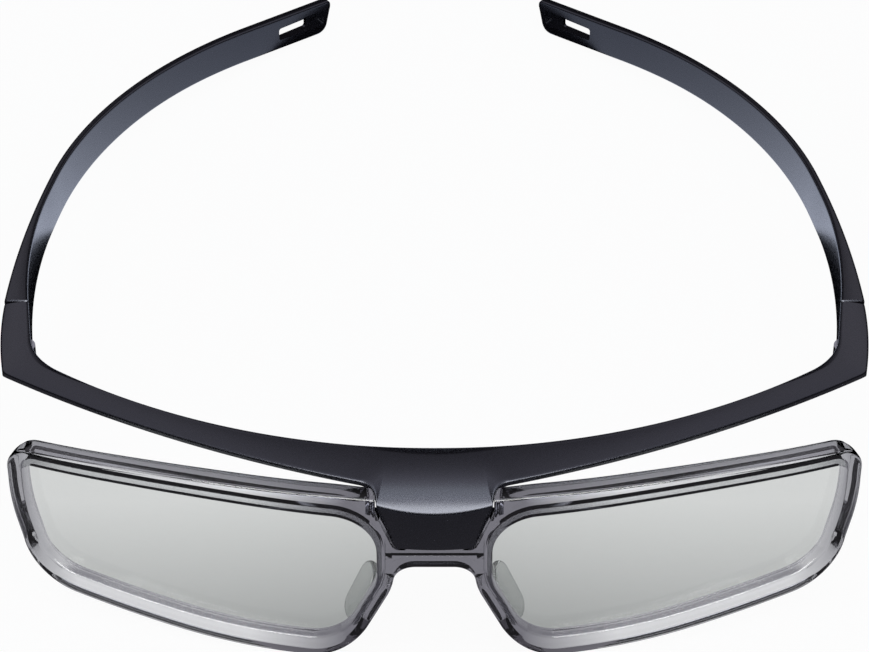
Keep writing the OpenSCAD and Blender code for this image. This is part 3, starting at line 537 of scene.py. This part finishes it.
def makeBrowBar():
    half = [barSection(*s) for s in barStations()]
    last = half[-1]
    mid = [sum(p[i] for p in last) / len(last) for i in range(3)]
    half[-1] = [(p[0], p[1] - bar["endRound"], p[2]) for p in last]  # softened edge at the parting line
    inset = lambda p, i: p[i] - math.copysign(bar["endRound"], p[i] - mid[i])
    half.append([(inset(p, 0), 0, inset(p, 2)) for p in last])
    piece = loft("browBar", [mirrored(ring) for ring in reversed(half)] + half[1:])
    plateY = -hinge["reach"] - hinge["knuckleR"]
    pocketX = innerX + hinge["knuckleR"] + hinge["clear"]
    for side in (-1, 1):
        screwX = side * bridge["screwX"]
        ends = apronBackY - bridge["bossSink"], bridgeBackY - bridge["bossShort"]
        boss = rod("boss", bridge["bossR"], screwX, -bridge["screwDrop"], *ends)
        joined(piece, boss, "UNION")
        near, far = sorted((side * (innerX - hinge["pocketW"]), side * pocketX))
        low, high = (near, plateY - hinge["tangGap"], -bar["endH"] - 5), (far, 1, -hinge["lidT"])
        pocket = block("pocket", low, high)
        joined(piece, pocket, "DIFFERENCE")
    return finishPiece(piece, paintMaterial, "front", ["brow_bar"])


frameReach = bar["creaseReach"] - bridge["setBack"]
bridgeFrontY, bridgeBackY = -frameReach + bridge["frontIn"], -frameReach + bridge["depth"]
apronBackY = creaseC.y - math.sqrt((bar["creaseR"] - bar["apronT"]) ** 2 - bridge["screwX"] ** 2)
makeBrowBar()

# Temples
temple = {
    "gap": 0.2, "rootR": 270, "rootLen": 45, "earR": 96, "earLen": 70, "tipLen": 22, "droop": 0.058, "thin": 1.5,
    "tipT": 2, "thinLen": 36, "tipH": 7.8, "taperLen": 104, "lowCornerR": 2.5, "topCornerR": 0.9, "endLean": 14,
    "tipEndH": 1.4, "edgeR": 0.58, "slotW": 3, "slotLen": 7.9, "slotEnd": 6, "slotR": 0.6, "grooveW": 3.6,
    "grooveEnd": 1.9, "grooveD": 1.2, "endRound": 0.22, "thinPower": 1.8, "tipStop": 0.1,
    "tipRound": ((0.06, 0.1), (0.02, 0.3)), "edgeLimit": (3, 2.5),
}
templeLen = temple["rootLen"] + temple["earLen"] + temple["tipLen"]


def along(start, angle, radius, length):
    turned = angle + math.degrees(length / radius)
    return start + radius * (ray(turned) - ray(angle)), turned


rootEnd = along(Vector((bar["halfWidth"], 0)), bar["templeAngle"], temple["rootR"], temple["rootLen"])
earEnd = along(rootEnd[0], rootEnd[1], temple["earR"], temple["earLen"])


def templeAt(s):
    if s < temple["rootLen"]:
        return along(Vector((bar["halfWidth"], 0)), bar["templeAngle"], temple["rootR"], s)
    if s < temple["rootLen"] + temple["earLen"]:
        return along(rootEnd[0], rootEnd[1], temple["earR"], s - temple["rootLen"])
    return earEnd[0] + (s - temple["rootLen"] - temple["earLen"]) * ray(earEnd[1] + 90), earEnd[1]


def templeThick(s):
    if s < temple["thinLen"]:
        return mix(bar["endW"], temple["thin"], 1 - (1 - s / temple["thinLen"]) ** temple["thinPower"])
    return mix(temple["thin"], temple["tipT"], ease((s - temple["thinLen"]) / (templeLen - temple["thinLen"])))


endTurn = math.radians(90 - temple["endLean"])
cornerRun = temple["lowCornerR"] * math.sin(endTurn)
cornerRise = temple["lowCornerR"] * (1 - math.cos(endTurn))
tipRun = cornerRun + (temple["tipH"] - temple["tipEndH"] - cornerRise) / math.tan(endTurn)


def roundRise(u, r):
    return 0 if u < 0 else r - math.sqrt(max(0, r * r - u * u))


def lowRise(u):
    # the lower corner of the tip runs on into the sloping end
    if u < cornerRun:
        return roundRise(u, temple["lowCornerR"])
    return cornerRise + (u - cornerRun) * math.tan(endTurn)


def templeTop(s):
    r = temple["topCornerR"]
    return -temple["droop"] * templeAt(s)[0].y - roundRise(s - templeLen + r, r)


def templeLow(s):
    h = mix(bar["endH"], temple["tipH"], ease(s / temple["taperLen"]))
    return -temple["droop"] * templeAt(s)[0].y - h + lowRise(s - templeLen + tipRun)


def templeSection(s, inset=0.0):
    at, angle = templeAt(s)
    inward = -ray(angle)
    t, z0, z1 = templeThick(s), templeLow(s), templeTop(s)
    e = min(temple["edgeR"], (z1 - z0) / temple["edgeLimit"][0], t / temple["edgeLimit"][1])
    lo, hi, low, top = inset, t - inset, z0 + inset, z1 - inset
    pts = rounded((lo, low + e), (lo, low), (lo + e, low), 5)
    pts += rounded((hi - e, low), (hi, low), (hi, low + e), 5)
    pts += rounded((hi, top - e), (hi, top), (hi - e, top), 5)
    pts += rounded((lo + e, top), (lo, top), (lo, top - e), 5)
    return [(*(at + inward * u), z) for u, z in pts]


def makeTemple(side, name, body):
    stops = [mix(temple["gap"] + temple["endRound"], temple["thinLen"], t) for t in [0] + steps(24)]
    stops += [mix(temple["thinLen"], templeLen - tipRun, t) for t in steps(70)]
    stops += [templeLen - tipRun + temple["lowCornerR"] * math.sin(endTurn * t) for t in steps(12)]
    stops += [mix(templeLen - tipRun + cornerRun, templeLen - temple["tipStop"], t) for t in steps(8)]
    rings = [templeSection(temple["gap"], temple["endRound"])] + [templeSection(s) for s in stops]
    rings += [templeSection(templeLen - short, inset) for short, inset in temple["tipRound"]]
    tip, turn = templeAt(templeLen)
    midS = templeLen - temple["slotEnd"] - temple["slotLen"] / 2
    midZ = (templeTop(midS) + templeLow(midS)) / 2
    inward, back = -ray(turn), ray(turn + 90)
    piece = loft(name, rings)

    def cutter(label, outline, u0, u1):
        # outline is along the temple and in height, u runs from the outer face inwards
        def place(p, end):
            q = tip + back * p[0] + inward * (u0, u1)[end]
            return (q.x, q.y, midZ + p[1])
        return prism(label, outline, place)

    def roundedBox(y0, y1, w):
        q = temple["slotR"]
        corners = [(y1 - q, w / 2 - q), (y0 + q, w / 2 - q), (y0 + q, q - w / 2), (y1 - q, q - w / 2)]
        return [Vector(corners[i]) + q * ray(90 * i + 15 * k) for i in range(4) for k in range(7)]

    slot = roundedBox(-temple["slotEnd"] - temple["slotLen"], -temple["slotEnd"], temple["slotW"])
    joined(piece, cutter("slot", slot, -4, 6), "DIFFERENCE")
    groove = roundedBox(-temple["slotEnd"] - temple["slotW"] / 2, -temple["grooveEnd"], temple["grooveW"])
    joined(piece, cutter("groove", groove, temple["tipT"] - temple["grooveD"], 6), "DIFFERENCE")
    if side < 0:
        toLeft(piece)
    return finishPiece(piece, paintMaterial, body, [body])


makeTemple(-1, "leftTemple", "left_temple")
makeTemple(1, "rightTemple", "right_temple")

# Lens frame and lenses are drawn flat and wrapped round the head by one node tree
wrap = {"radius": 204.0, "rimDepth": 4.0}
wrap["centre"] = wrap["radius"] + wrap["rimDepth"] - frameReach
eye = {
    "nose": 10.3, "outer": 75, "top": 3.8, "low": 36, "topNoseFall": 2.2, "topNoseR": 8.5, "peak": 47, "peakR": 300,
    "topOuterFall": 0.8, "topOuterR": 1.8, "sideDrop": 9.2, "sideR": 40, "sideIn": 3.3, "lowOuterRise": 8,
    "lowOuterR": 9, "lowBend": 36.4, "lowBendRise": 0.95, "lowBendR": 150, "noseOut": 6.8, "lowNoseR": 9,
    "noseRise": 15, "noseR": 10,
}
rim = {
    "w": 3.5, "lowW": 4.8, "topW": 4.2, "rootW": 5, "noseW": 3.1, "lipR": 0.6, "frontR": 0.7, "backR": 0.4,
    "recess": 2.4, "seatW": 1.2, "lensT": 0.9, "lensGap": 0.3, "lipGap": 0.12, "bevelW": 1.7, "bevelD": 2.6,
    "soft": 0.35, "lowPower": 4, "arcStep": 4, "lineStep": 1.5, "archGap": 0.1, "archIn": 0.2, "lensRings": 14,
}
lensFront = wrap["rimDepth"] - rim["recess"]
openCorners = [
    (Vector((eye["nose"], -eye["top"] - eye["topNoseFall"])), eye["topNoseR"]),
    (Vector((eye["peak"], -eye["top"])), eye["peakR"]),
    (Vector((eye["outer"], -eye["top"] - eye["topOuterFall"])), eye["topOuterR"]),
    (Vector((eye["outer"], -eye["top"] - eye["sideDrop"])), eye["sideR"]),
    (Vector((eye["outer"] - eye["sideIn"], -eye["low"] + eye["lowOuterRise"])), eye["lowOuterR"]),
    (Vector((eye["lowBend"], -eye["low"] + eye["lowBendRise"])), eye["lowBendR"]),
    (Vector((eye["nose"] + eye["noseOut"], -eye["low"])), eye["lowNoseR"]),
    (Vector((eye["nose"], -eye["low"] + eye["noseRise"])), eye["noseR"]),
]


def cornerInfo(i):
    # centre of the rounding, the way it starts, how far it turns and its radius
    p, r = openCorners[i % 8]
    u = (p - openCorners[(i - 1) % 8][0]).normalized()
    w = (openCorners[(i + 1) % 8][0] - p).normalized()
    n0, n1 = heading(Vector((-u.y, u.x))), heading(Vector((-w.y, w.x)))
    turn = n0 - n1 + (360 if n0 - n1 < -180 else 0)
    return p - u * r * math.tan(math.radians(turn / 2)) - r * ray(n0), n0, turn, r


def topWidth(x):
    start = eye["nose"] + eye["topNoseR"]
    if x < eye["peak"]:
        return mix(rim["rootW"], rim["topW"], clip((x - start) / (eye["peak"] - start)))
    return mix(rim["topW"], rim["w"], (x - eye["peak"]) / (eye["outer"] - eye["peak"]))


def rimWidth(p, n):
    side = rim["w"] if n.x > 0 else rim["noseW"]
    if n.y > 0:
        return mix(side, topWidth(p.x), n.y * n.y)
    return mix(side, rim["lowW"], (-n.y) ** (1 if n.x > 0 else rim["lowPower"]))


def rootWidth(t):
    # the rim runs square into the bridge at the upper inner corner
    r, turn = eye["topNoseR"], math.radians(cornerInfo(0)[2])
    nose, root = (r + rim["noseW"]) / math.cos(turn * t), (r + rim["rootW"]) / math.cos(turn * (1 - t))
    return min(nose, root) - r


def openingOutline():
    # place, the way it faces out and the rim width there
    out = []
    for i in range(8):
        centre, n0, turn, r = cornerInfo(i)
        count = max(8, int(turn / rim["arcStep"]))
        for t in [0] + steps(count):
            n = ray(n0 - turn * t)
            p = centre + r * n
            out.append((p, n, rootWidth(t) if i == 0 else rimWidth(p, n)))
        nextC, nextN, _, nextR = cornerInfo(i + 1)
        start, end = out[-1][0], nextC + nextR * ray(nextN)
        count = int((end - start).length / rim["lineStep"]) + 1
        for t in steps(count)[:-1]:
            p = mix(start, end, t)
            out.append((p, out[-1][1], rimWidth(p, out[-1][1])))
    return out


outline = openingOutline()


def wrapTree():
    tree, given = newTree("wrapRoundHead", **{"Wrap Radius": "Float", "Wrap Centre": "Float"})
    at = axesOf(tree, addNode(tree, "GeometryNodeInputPosition").outputs[0])
    angle = calc(tree, "DIVIDE", at["X"], given["Wrap Radius"])
    reach = calc(tree, "SUBTRACT", given["Wrap Radius"], at["Y"])
    across = calc(tree, "MULTIPLY", reach, calc(tree, "SINE", angle))
    ahead = calc(tree, "MULTIPLY", reach, calc(tree, "COSINE", angle))
    bent = joinAxes(tree, X=across, Y=calc(tree, "SUBTRACT", given["Wrap Centre"], ahead), Z=at["Z"])
    moved = addNode(tree, "GeometryNodeSetPosition", {"Geometry": given["Geometry"], "Position": bent})
    return endTree(tree, moved.outputs[0], given["Finish"])


headWrap = wrapTree()


def wrapped(piece, material):
    values = {"Wrap Radius": wrap["radius"], "Wrap Centre": wrap["centre"], "Finish": material}
    return runTree(piece, headWrap, values)


def flatRing(p, n, section, side):
    out = []
    for u, front in section:
        q = p + n * u
        out.append((side * q.x, -front, q.y))
    return out


def arcPoints(centre, radius, start, end, count=6):
    return [tuple(Vector(centre) + radius * ray(mix(start, end, i / count))) for i in range(count + 1)]


def rimSection(w, turn):
    # turn is 0 along the top and the bottom, 1 down the sides, where the back edge is bevelled
    d, e, g, b = wrap["rimDepth"], rim["lipR"], rim["frontR"], rim["backR"]
    across, deep = mix(b, rim["bevelW"], turn * turn), mix(b, rim["bevelD"], turn * turn)
    pts = [(0, lensFront)]
    pts += arcPoints((e, d - e), e, 180, 90)
    pts += arcPoints((w - g, d - g), g, 90, 0, 8)
    if turn < 0.5:
        soft = rim["soft"] * (1 - turn)
        pts += rounded((w, deep), (w - across * soft, deep * soft), (w - across, 0))
    else:
        pts += [(w - across * t, mix(deep, 0, t)) for t in [0] + steps(6)]
    pts += [(rim["seatW"], 0), (rim["seatW"], lensFront)]
    return pts


def archRings():
    # clear arch over the nose, from rim to rim
    noseC = cornerInfo(7)[0]
    archR = bridge["archR"]
    archZ = -bridge["low"] - archR
    archX = noseC.x - math.sqrt((eye["noseR"] + rim["noseW"] + archR) ** 2 - (noseC.y - archZ) ** 2)
    archA = heading(noseC - Vector((archX, archZ)))
    d, g, b = wrap["rimDepth"], rim["frontR"], rim["backR"]

    def section(p, n):
        gap = rim["archGap"]
        room = (eye["nose"] - rim["seatW"] - gap - abs(p.x)) / max(0.01, abs(n.x))  # stops short of the lens seat
        w = min(rim["noseW"] - rim["archIn"], room)
        return [(-w, gap), (-w, d - gap)] + arcPoints((-g, d - g), g, 86, 0, 8) + arcPoints((-b, b), b, 0, -84)

    half = []
    for i in range(25):
        a = mix(archA, 90, i / 24)
        r = archR + (bridge["archSink"] if i == 0 else 0)
        half.append((Vector((archX, archZ)) + r * ray(a), -ray(a)))
    row = half + [(Vector((-p.x, p.y)), Vector((-n.x, n.y))) for p, n in reversed(half)]
    return [flatRing(p, n, section(p, n), 1) for p, n in row]


def tonguePlan():
    # the bar's tongue from above, with the clearance of its seat
    g = bridge["seatGap"]
    tip = [creaseC + (bar["creaseR"] + g) * ray(-90 + creaseTurn * i / 16) for i in range(-16, 17)]
    side = [filletC + (bar["fillet"] - g) * ray(180 - (90 - bar["wingAngle"]) * i / 16) for i in range(17)]
    back = [Vector((wingRoot.x, -bar["reach"])), Vector((-wingRoot.x, -bar["reach"]))]
    return tip + side + back + [Vector((-p.x, p.y)) for p in reversed(side)]


def makeLensFrame():
    sides = []
    for side in (1, -1):
        rings = [flatRing(p, n, rimSection(w, abs(n.x)), side) for p, n, w in outline]
        sides.append(wrapped(loft("lensFrame", rings, True), smokeMaterial))
    piece = joined(sides[0], sides[1], "UNION")
    joined(piece, wrapped(loft("arch", archRings()), smokeMaterial), "UNION")
    halfW = eye["nose"] - rim["noseW"] + bridge["landOut"]
    low = (-halfW, bridgeFrontY, bridge["landRise"] - bridge["low"])
    high = (halfW, bridgeBackY, -bar["creaseFall"] - bridge["landDrop"])
    joined(piece, block("land", low, high), "UNION")
    g = bridge["seatGap"]
    floorZ = -bar["creaseFall"] - bar["tongueT"] - g
    tongue = prism("tongueSeat", tonguePlan(), lambda p, end: (p.x, p.y, (floorZ, floorZ + 20)[end]))
    joined(piece, tongue, "DIFFERENCE")
    low = -bar["creaseFall"] - bar["apronH"] - g
    corner = Vector((bar["creaseHalfW"] + g, -bar["creaseFall"] - g))
    half = cornerArc(Vector((0, low)), Vector((bar["apronLowHalfW"] + g, low)), corner, bar["apronR"] + g)
    half += [corner, Vector((corner.x, 2))]
    face = half + [Vector((-p.x, p.y)) for p in reversed(half)]
    seat = prism("apronSeat", face, lambda p, end: (p[0], (-frameReach - 5, bridgeBackY + 5)[end], p[1]))
    inner = [creaseC + (bar["creaseR"] - bar["apronT"] - g) * ray(360 * i / 180) for i in range(180)]
    joined(seat, prism("apronInner", inner, lambda p, end: (p.x, p.y, (-30, 10)[end])), "DIFFERENCE")
    joined(piece, seat, "DIFFERENCE")
    for side in (-1, 1):
        screwX = side * bridge["screwX"]
        hole = rod("bossHole", bridge["bossR"] + g, screwX, -bridge["screwDrop"], -frameReach, bridgeBackY + 1)
        joined(piece, hole, "DIFFERENCE")
    piece.name = "lensFrame"
    return finishPiece(piece, smokeMaterial, "front", ["lens_frame"])


def makeLens(side, name, node):
    grow = rim["seatW"] - rim["lensGap"]
    edge = [p + n * grow for p, n, _ in outline]
    centre = sum(edge, Vector((0, 0))) / len(edge)
    front, back = lensFront - rim["lipGap"], lensFront - rim["lipGap"] - rim["lensT"]
    n = len(edge)
    shares = steps(rim["lensRings"])  # rings from the middle out, so that the sheet bends smoothly
    points, faces = [], []
    for depth in (front, back):
        points.append((side * centre.x, -depth, centre.y))
        for share in shares:
            points += [(side * q.x, -depth, q.y) for q in (centre + (p - centre) * share for p in edge)]
    layer = 1 + n * len(shares)
    for base in (0, layer):
        for j in range(n):
            k = (j + 1) % n
            faces.append((base, base + 1 + j, base + 1 + k))
            for i in range(len(shares) - 1):
                a = base + 1 + i * n
                faces.append((a + j, a + n + j, a + n + k, a + k))
    rimStart = 1 + n * (len(shares) - 1)
    for j in range(n):
        a, b = rimStart + j, rimStart + (j + 1) % n
        faces.append((a, layer + a, layer + b, b))
    piece = wrapped(newPiece(name, points, faces), filmMaterial)
    return finishPiece(piece, filmMaterial, "front", [node], sharp=50)


makeLensFrame()
makeLens(-1, "leftLens", "left_lens")
makeLens(1, "rightLens", "right_lens")

# Nose pads: soft pillows on a short foot at the back of the rim
pad = {
    "len": 12.5, "w": 6, "t": 1.4, "drop": 29, "splay": 18, "lean": 25, "rake": 10, "footR": 1.2, "footLen": 2.2,
    "stand": 0.15,
}


def makeNosePad(side, name, node):
    low, high = openCorners[6][0], openCorners[7][0]
    line = (high - low).normalized()
    spot = mix(low, high, (-pad["drop"] - low.y) / (high.y - low.y))
    spot += Vector((-line.y, line.x)) * (rim["seatW"] + rim["noseW"]) / 2
    a, r = spot.x / wrap["radius"], wrap["radius"]
    place = Matrix.Translation((r * math.sin(a), wrap["centre"] - r * math.cos(a), spot.y))
    ends = (pad["len"] - pad["w"]) / 2
    outlineR = pad["w"] / 2
    rings = []
    for i in range(17):
        turn = mix(-90, 90, i / 16)
        inset = pad["t"] / 2 * (1 - math.cos(math.radians(turn)))
        x = pad["t"] / 2 * math.sin(math.radians(turn))
        ring = []
        for centre, start in ((ends, -90), (-ends, 90)):
            for k in range(25):
                d = (outlineR - inset) * ray(start + 180 * k / 24)
                ring.append((x, pad["w"] / 2 + d.y + pad["footLen"] / 2, centre + d.x))
        rings.append(ring)
    turnPad = Matrix.Identity(4)
    for key, axis in (("lean", "Y"), ("rake", "X"), ("splay", "Z")):
        turnPad = turnPad @ Matrix.Rotation(math.radians(-pad[key]), 4, axis)
    piece = loft(name, rings)
    piece.data.transform(place @ turnPad)
    foot = rod("foot", pad["footR"], 0, 0, pad["stand"], pad["stand"] + pad["footLen"])
    foot.data.transform(place)
    joined(piece, foot, "UNION")
    if side < 0:
        toLeft(piece)
    return finishPiece(piece, siliconeMaterial, "front", [node], sharp=40)


makeNosePad(-1, "leftNosePad", "left_nose_pad")
makeNosePad(1, "rightNosePad", "right_nose_pad")

# Screws come from one node tree, with a chamfered head and a driver slot or cross
screwKinds = {
    "bridge": {
        "Head Radius": 2.1, "Head Height": 0.9, "Shank Radius": 0.6, "Slot Length": 2.4, "Slot Width": 0.45,
        "Slot Depth": 0.4, "Cross": True,
    },
    "hinge": {
        "Head Radius": 1.5, "Head Height": 0.8, "Shank Radius": 0.7, "Slot Length": 4.0, "Slot Width": 0.4,
        "Slot Depth": 0.35, "Cross": False,
    },
}
screwShape = {"chamfer": 0.88, "headSides": 48, "shankSides": 32}


def screwTree():
    labels = [key for key in screwKinds["bridge"] if key != "Cross"] + ["Shank Length"]
    tree, given = newTree("slottedScrew", **{key: "Float" for key in labels}, Cross="Bool", Turn="Vector")
    head = addNode(tree, "GeometryNodeMeshCone", {
        "Vertices": screwShape["headSides"], "Radius Bottom": given["Head Radius"], "Depth": given["Head Height"],
        "Radius Top": calc(tree, "MULTIPLY", given["Head Radius"], screwShape["chamfer"])}).outputs[0]
    twice = calc(tree, "MULTIPLY", given["Slot Depth"], 2.0)
    size = joinAxes(tree, X=given["Slot Length"], Y=given["Slot Width"], Z=twice)
    slot = addNode(tree, "GeometryNodeMeshCube", {"Size": size}).outputs[0]
    lift = joinAxes(tree, Z=given["Head Height"])
    cuts = []
    for turn in (0, math.pi / 2):
        placed = {"Geometry": slot, "Translation": lift, "Rotation": (0, 0, turn)}
        cutter = addNode(tree, "GeometryNodeTransform", placed).outputs[0]
        parts = {"operation": "DIFFERENCE", 0: cuts[-1] if cuts else head, 1: cutter}
        cuts.append(addNode(tree, "GeometryNodeMeshBoolean", parts).outputs[0])
    top = addNode(tree, "GeometryNodeSwitch", {
        "input_type": "GEOMETRY", "Switch": given["Cross"], "False": cuts[0], "True": cuts[1]})
    shank = addNode(tree, "GeometryNodeMeshCylinder", {
        "Vertices": screwShape["shankSides"], "Radius": given["Shank Radius"], "Depth": given["Shank Length"]})
    down = joinAxes(tree, Z=calc(tree, "MULTIPLY", given["Shank Length"], -0.5))
    lowered = addNode(tree, "GeometryNodeTransform", {"Geometry": shank.outputs[0], "Translation": down})
    whole = addNode(tree, "GeometryNodeJoinGeometry", {0: top.outputs[0]})
    tree.links.new(lowered.outputs[0], whole.inputs[0])
    copies = addNode(tree, "GeometryNodeInstanceOnPoints", {
        "Points": given["Geometry"], "Instance": whole.outputs[0], "Rotation": given["Turn"]})
    return endTree(tree, copies.outputs[0], given["Finish"])


screws = screwTree()


def makeScrews(name, node, kind, places, turn, length):
    values = {**screwKinds[kind], "Shank Length": length, "Turn": turn, "Finish": steelMaterial}
    piece = runTree(newPiece(name, places, []), screws, values)
    return finishPiece(piece, steelMaterial, "front", [node])


screwSeat = bridgeBackY + bridge["screwGap"]
spots = [(side * bridge["screwX"], screwSeat, -bridge["screwDrop"]) for side in (-1, 1)]
makeScrews("bridgeScrews", "bridge_screws", "bridge", spots, (-math.pi / 2, 0, 0), screwSeat - apronBackY)
hingeTop = -hinge["lidT"] - hinge["lidGap"]
hingeLow = hingeTop - 2 * hinge["frontH"] - hinge["templeH"] - 2 * hinge["gap"] - hinge["screwGap"]
headDown = (math.pi, 0, math.pi / 2)
for side, label in ((-1, "left"), (1, "right")):
    spots = [(side * innerX, -hinge["reach"], hingeLow)]
    makeScrews(label + "HingeScrew", label + "_hinge_screw", "hinge", spots, headDown, hingeTop - hingeLow)

# Leaves keep their CAD shape and take the steel finish
for name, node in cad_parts.items():
    if "leaf" in name:
        node.data.materials.clear()
        node.data.materials.append(steelMaterial)
print("hinges finished")

# Stage: a white table, cards, one soft box and the photograph's camera
studio = {
    "floorGlow": 0.95, "floorColour": "#f2f2f2", "floorTint": "#e2eaff", "floorHalf": 3, "floorZ": -0.0002, "sky": 0.3,
    "flagR": 0.22, "flagHigh": 0.3, "flagTone": 0.004, "fadeR": 0.45, "fadeTopR": 0.16, "fadeLow": 0.11,
    "fadeHigh": 0.85, "fadePower": 1.6, "fadeLevel": 1.8, "fadeColour": "#ebe7f4", "sideLevel": 0.72,
    "sideX": (0.08, 0.14), "sideY": (0, 0.1), "sideZ": (0.1, 0.2), "ovalX": 0.085, "ovalY": 0.037, "ovalMid": 0.04,
    "ovalZ": 0.0005, "ovalGrowth": 9, "tableLevel": 0.22, "tableY": (-0.02, -0.06), "edgeY": (-0.2, -0.12),
    "edgeZ": (0.15, 0.2), "edgeHalf": 0.1, "edgeLevel": 9.0, "ringSides": 48,
}
overhead = {"place": (0, -0.2, 0.8), "aim": (0, -0.02, 0.02), "size": (1.1, 0.66), "power": 3.8, "colour": "#eaf1ff"}
view = {"place": (0, -0.43597, 0.47876), "aim": (0, -0.03418, 0.03315), "lens": 131.49, "sensor": 36}
circle = [ray(360 * i / studio["ringSides"]) for i in range(studio["ringSides"])]


def whiteFor(tree):
    # what the camera, mirrors and glass see of the surroundings
    path = addNode(tree, "ShaderNodeLightPath").outputs
    both = calc(tree, "MAXIMUM", path["Is Camera Ray"], path["Is Glossy Ray"])
    return calc(tree, "MAXIMUM", both, path["Is Transmission Ray"])


def makeTable():
    h, z = studio["floorHalf"], studio["floorZ"]
    table = newPiece("table", [(-h, -h, z), (h, -h, z), (h, h, z), (-h, h, z)], [(0, 1, 2, 3)])
    if table.data.polygons[0].normal.z < 0:
        table.data.flip_normals()
    material, tree = newMaterial("whiteTable")
    path = addNode(tree, "ShaderNodeLightPath").outputs
    # glass counts as glossy too, so it is taken off
    gloss = calc(tree, "MAXIMUM", calc(tree, "SUBTRACT", path["Is Glossy Ray"], path["Is Transmission Ray"]), 0.0)
    tint = blend(tree, gloss, (1, 1, 1, 1), hexColour(studio["floorTint"]))
    plain = addNode(tree, "ShaderNodeBsdfDiffuse", {"Color": hexColour(studio["floorColour"])})
    glow = addNode(tree, "ShaderNodeEmission", {"Color": tint, "Strength": 1.0})
    share = calc(tree, "MULTIPLY", whiteFor(tree), studio["floorGlow"])
    both = addNode(tree, "ShaderNodeMixShader", {0: share, 1: plain.outputs[0], 2: glow.outputs[0]})
    table.data.materials.append(surfaced(material, both))


def makeCard(name, points, faces, material, hiddenFrom):
    card = newPiece(name, points, faces)
    card.visible_camera = card.visible_diffuse = card.visible_shadow = False
    setattr(card, "visible_" + hiddenFrom, False)
    card.data.materials.append(material)


def ringCard(name, rows, material, hiddenFrom):
    makeCard(name, rows, band(len(circle)), material, hiddenFrom)


def glowMaterial(name, colour, level):
    # level gives the strength at a place on the card
    material, tree = newMaterial(name)
    strength = level(tree, axesOf(tree, objectPlace(tree)))
    return surfaced(material, addNode(tree, "ShaderNodeEmission", {"Color": colour, "Strength": strength}))


def fadeLevel(tree, at):
    rise = calc(tree, "POWER", ramp(tree, at["Z"], studio["fadeLow"], studio["fadeHigh"]), studio["fadePower"])
    middle = calc(tree, "MULTIPLY", rise, studio["fadeLevel"])
    # an even grey at the back corners, which the bar's ends mirror
    corner = ramp(tree, calc(tree, "ABSOLUTE", at["X"]), *studio["sideX"])
    corner = calc(tree, "MULTIPLY", corner, ramp(tree, at["Y"], *studio["sideY"]))
    corner = calc(tree, "MULTIPLY", corner, ramp(tree, at["Z"], *studio["sideZ"]))
    mixed = {"data_type": "FLOAT", 0: corner, 2: middle, 3: studio["sideLevel"]}
    return addNode(tree, "ShaderNodeMix", mixed).outputs[0]


def tableLevel(tree, at):
    return ramp(tree, at["Y"], *studio["tableY"], 0, studio["tableLevel"])


def makeCards():
    # black card round the object for the dark lines of the clear rims, seen only through them
    material, tree = newMaterial("blackCard")
    surfaced(material, addNode(tree, "ShaderNodeBsdfDiffuse", {"Color": (studio["flagTone"],) * 3 + (1,)}))
    rows = [(*(studio["flagR"] * d), z) for z in (0.0, studio["flagHigh"]) for d in circle]
    ringCard("blackCard", rows, material, "glossy")
    # graded card for the gloss of the paint, black at the table and light above
    tone = hexColour(studio["fadeColour"])
    ends = ((studio["fadeR"], 0.0), (studio["fadeTopR"], studio["fadeHigh"]))
    rows = [(*(radius * d), z) for radius, z in ends for d in circle]
    ringCard("gradedCard", rows, glowMaterial("gradedCard", tone, fadeLevel), "transmission")
    # card on the table round an open oval, grey in front and black behind, seen only in the gloss
    rows = [(studio["ovalX"] * k * d.x, studio["ovalMid"] + studio["ovalY"] * k * d.y, studio["ovalZ"])
            for k in (1, studio["ovalGrowth"]) for d in circle]
    ringCard("tableCard", rows, glowMaterial("greyCard", tone, tableLevel), "transmission")
    # bright card above the camera, seen only in the gloss, for crisp lines along the edges
    y, z, half = studio["edgeY"], studio["edgeZ"], studio["edgeHalf"]
    rows = [(-half, y[0], z[0]), (half, y[0], z[0]), (half, y[1], z[1]), (-half, y[1], z[1])]
    material = glowMaterial("edgeCard", (1, 1, 1, 1), lambda tree, at: studio["edgeLevel"])
    makeCard("edgeCard", rows, [(0, 1, 2, 3)], material, "transmission")


def makeWorld():
    world = bpy.data.worlds.new("studio")
    bpy.context.scene.world = world
    world.use_nodes = True
    tree = world.node_tree
    tree.nodes.clear()
    level = ramp(tree, whiteFor(tree), 0, 1, studio["sky"], 1.0)
    sky = addNode(tree, "ShaderNodeBackground", {"Color": (1, 1, 1, 1), "Strength": level})
    addNode(tree, "ShaderNodeOutputWorld", {"Surface": sky.outputs[0]})


def aimed(name, data, settings):
    thing = bpy.data.objects.new(name, data)
    place, aim = Vector(settings["place"]), Vector(settings["aim"])
    thing.location = place
    thing.rotation_euler = (aim - place).to_track_quat("-Z", "Y").to_euler()
    bpy.context.scene.collection.objects.link(thing)
    return thing


def makeLight():
    lamp = bpy.data.lights.new("overhead", "AREA")
    lamp.shape = "RECTANGLE"
    lamp.size, lamp.size_y = overhead["size"]
    lamp.energy = overhead["power"]
    lamp.color = hexColour(overhead["colour"])[:3]
    aimed("overhead", lamp, overhead)


def makeCamera():
    data = bpy.data.cameras.new("photoCamera")
    data.sensor_fit = "HORIZONTAL"
    data.sensor_width = view["sensor"]
    data.lens = view["lens"]
    bpy.context.scene.camera = aimed("photoCamera", data, view)


makeTable()
makeCards()
makeWorld()
makeLight()
makeCamera()
bpy.context.scene.view_settings.view_transform = "Standard"
print("stage and camera ready")
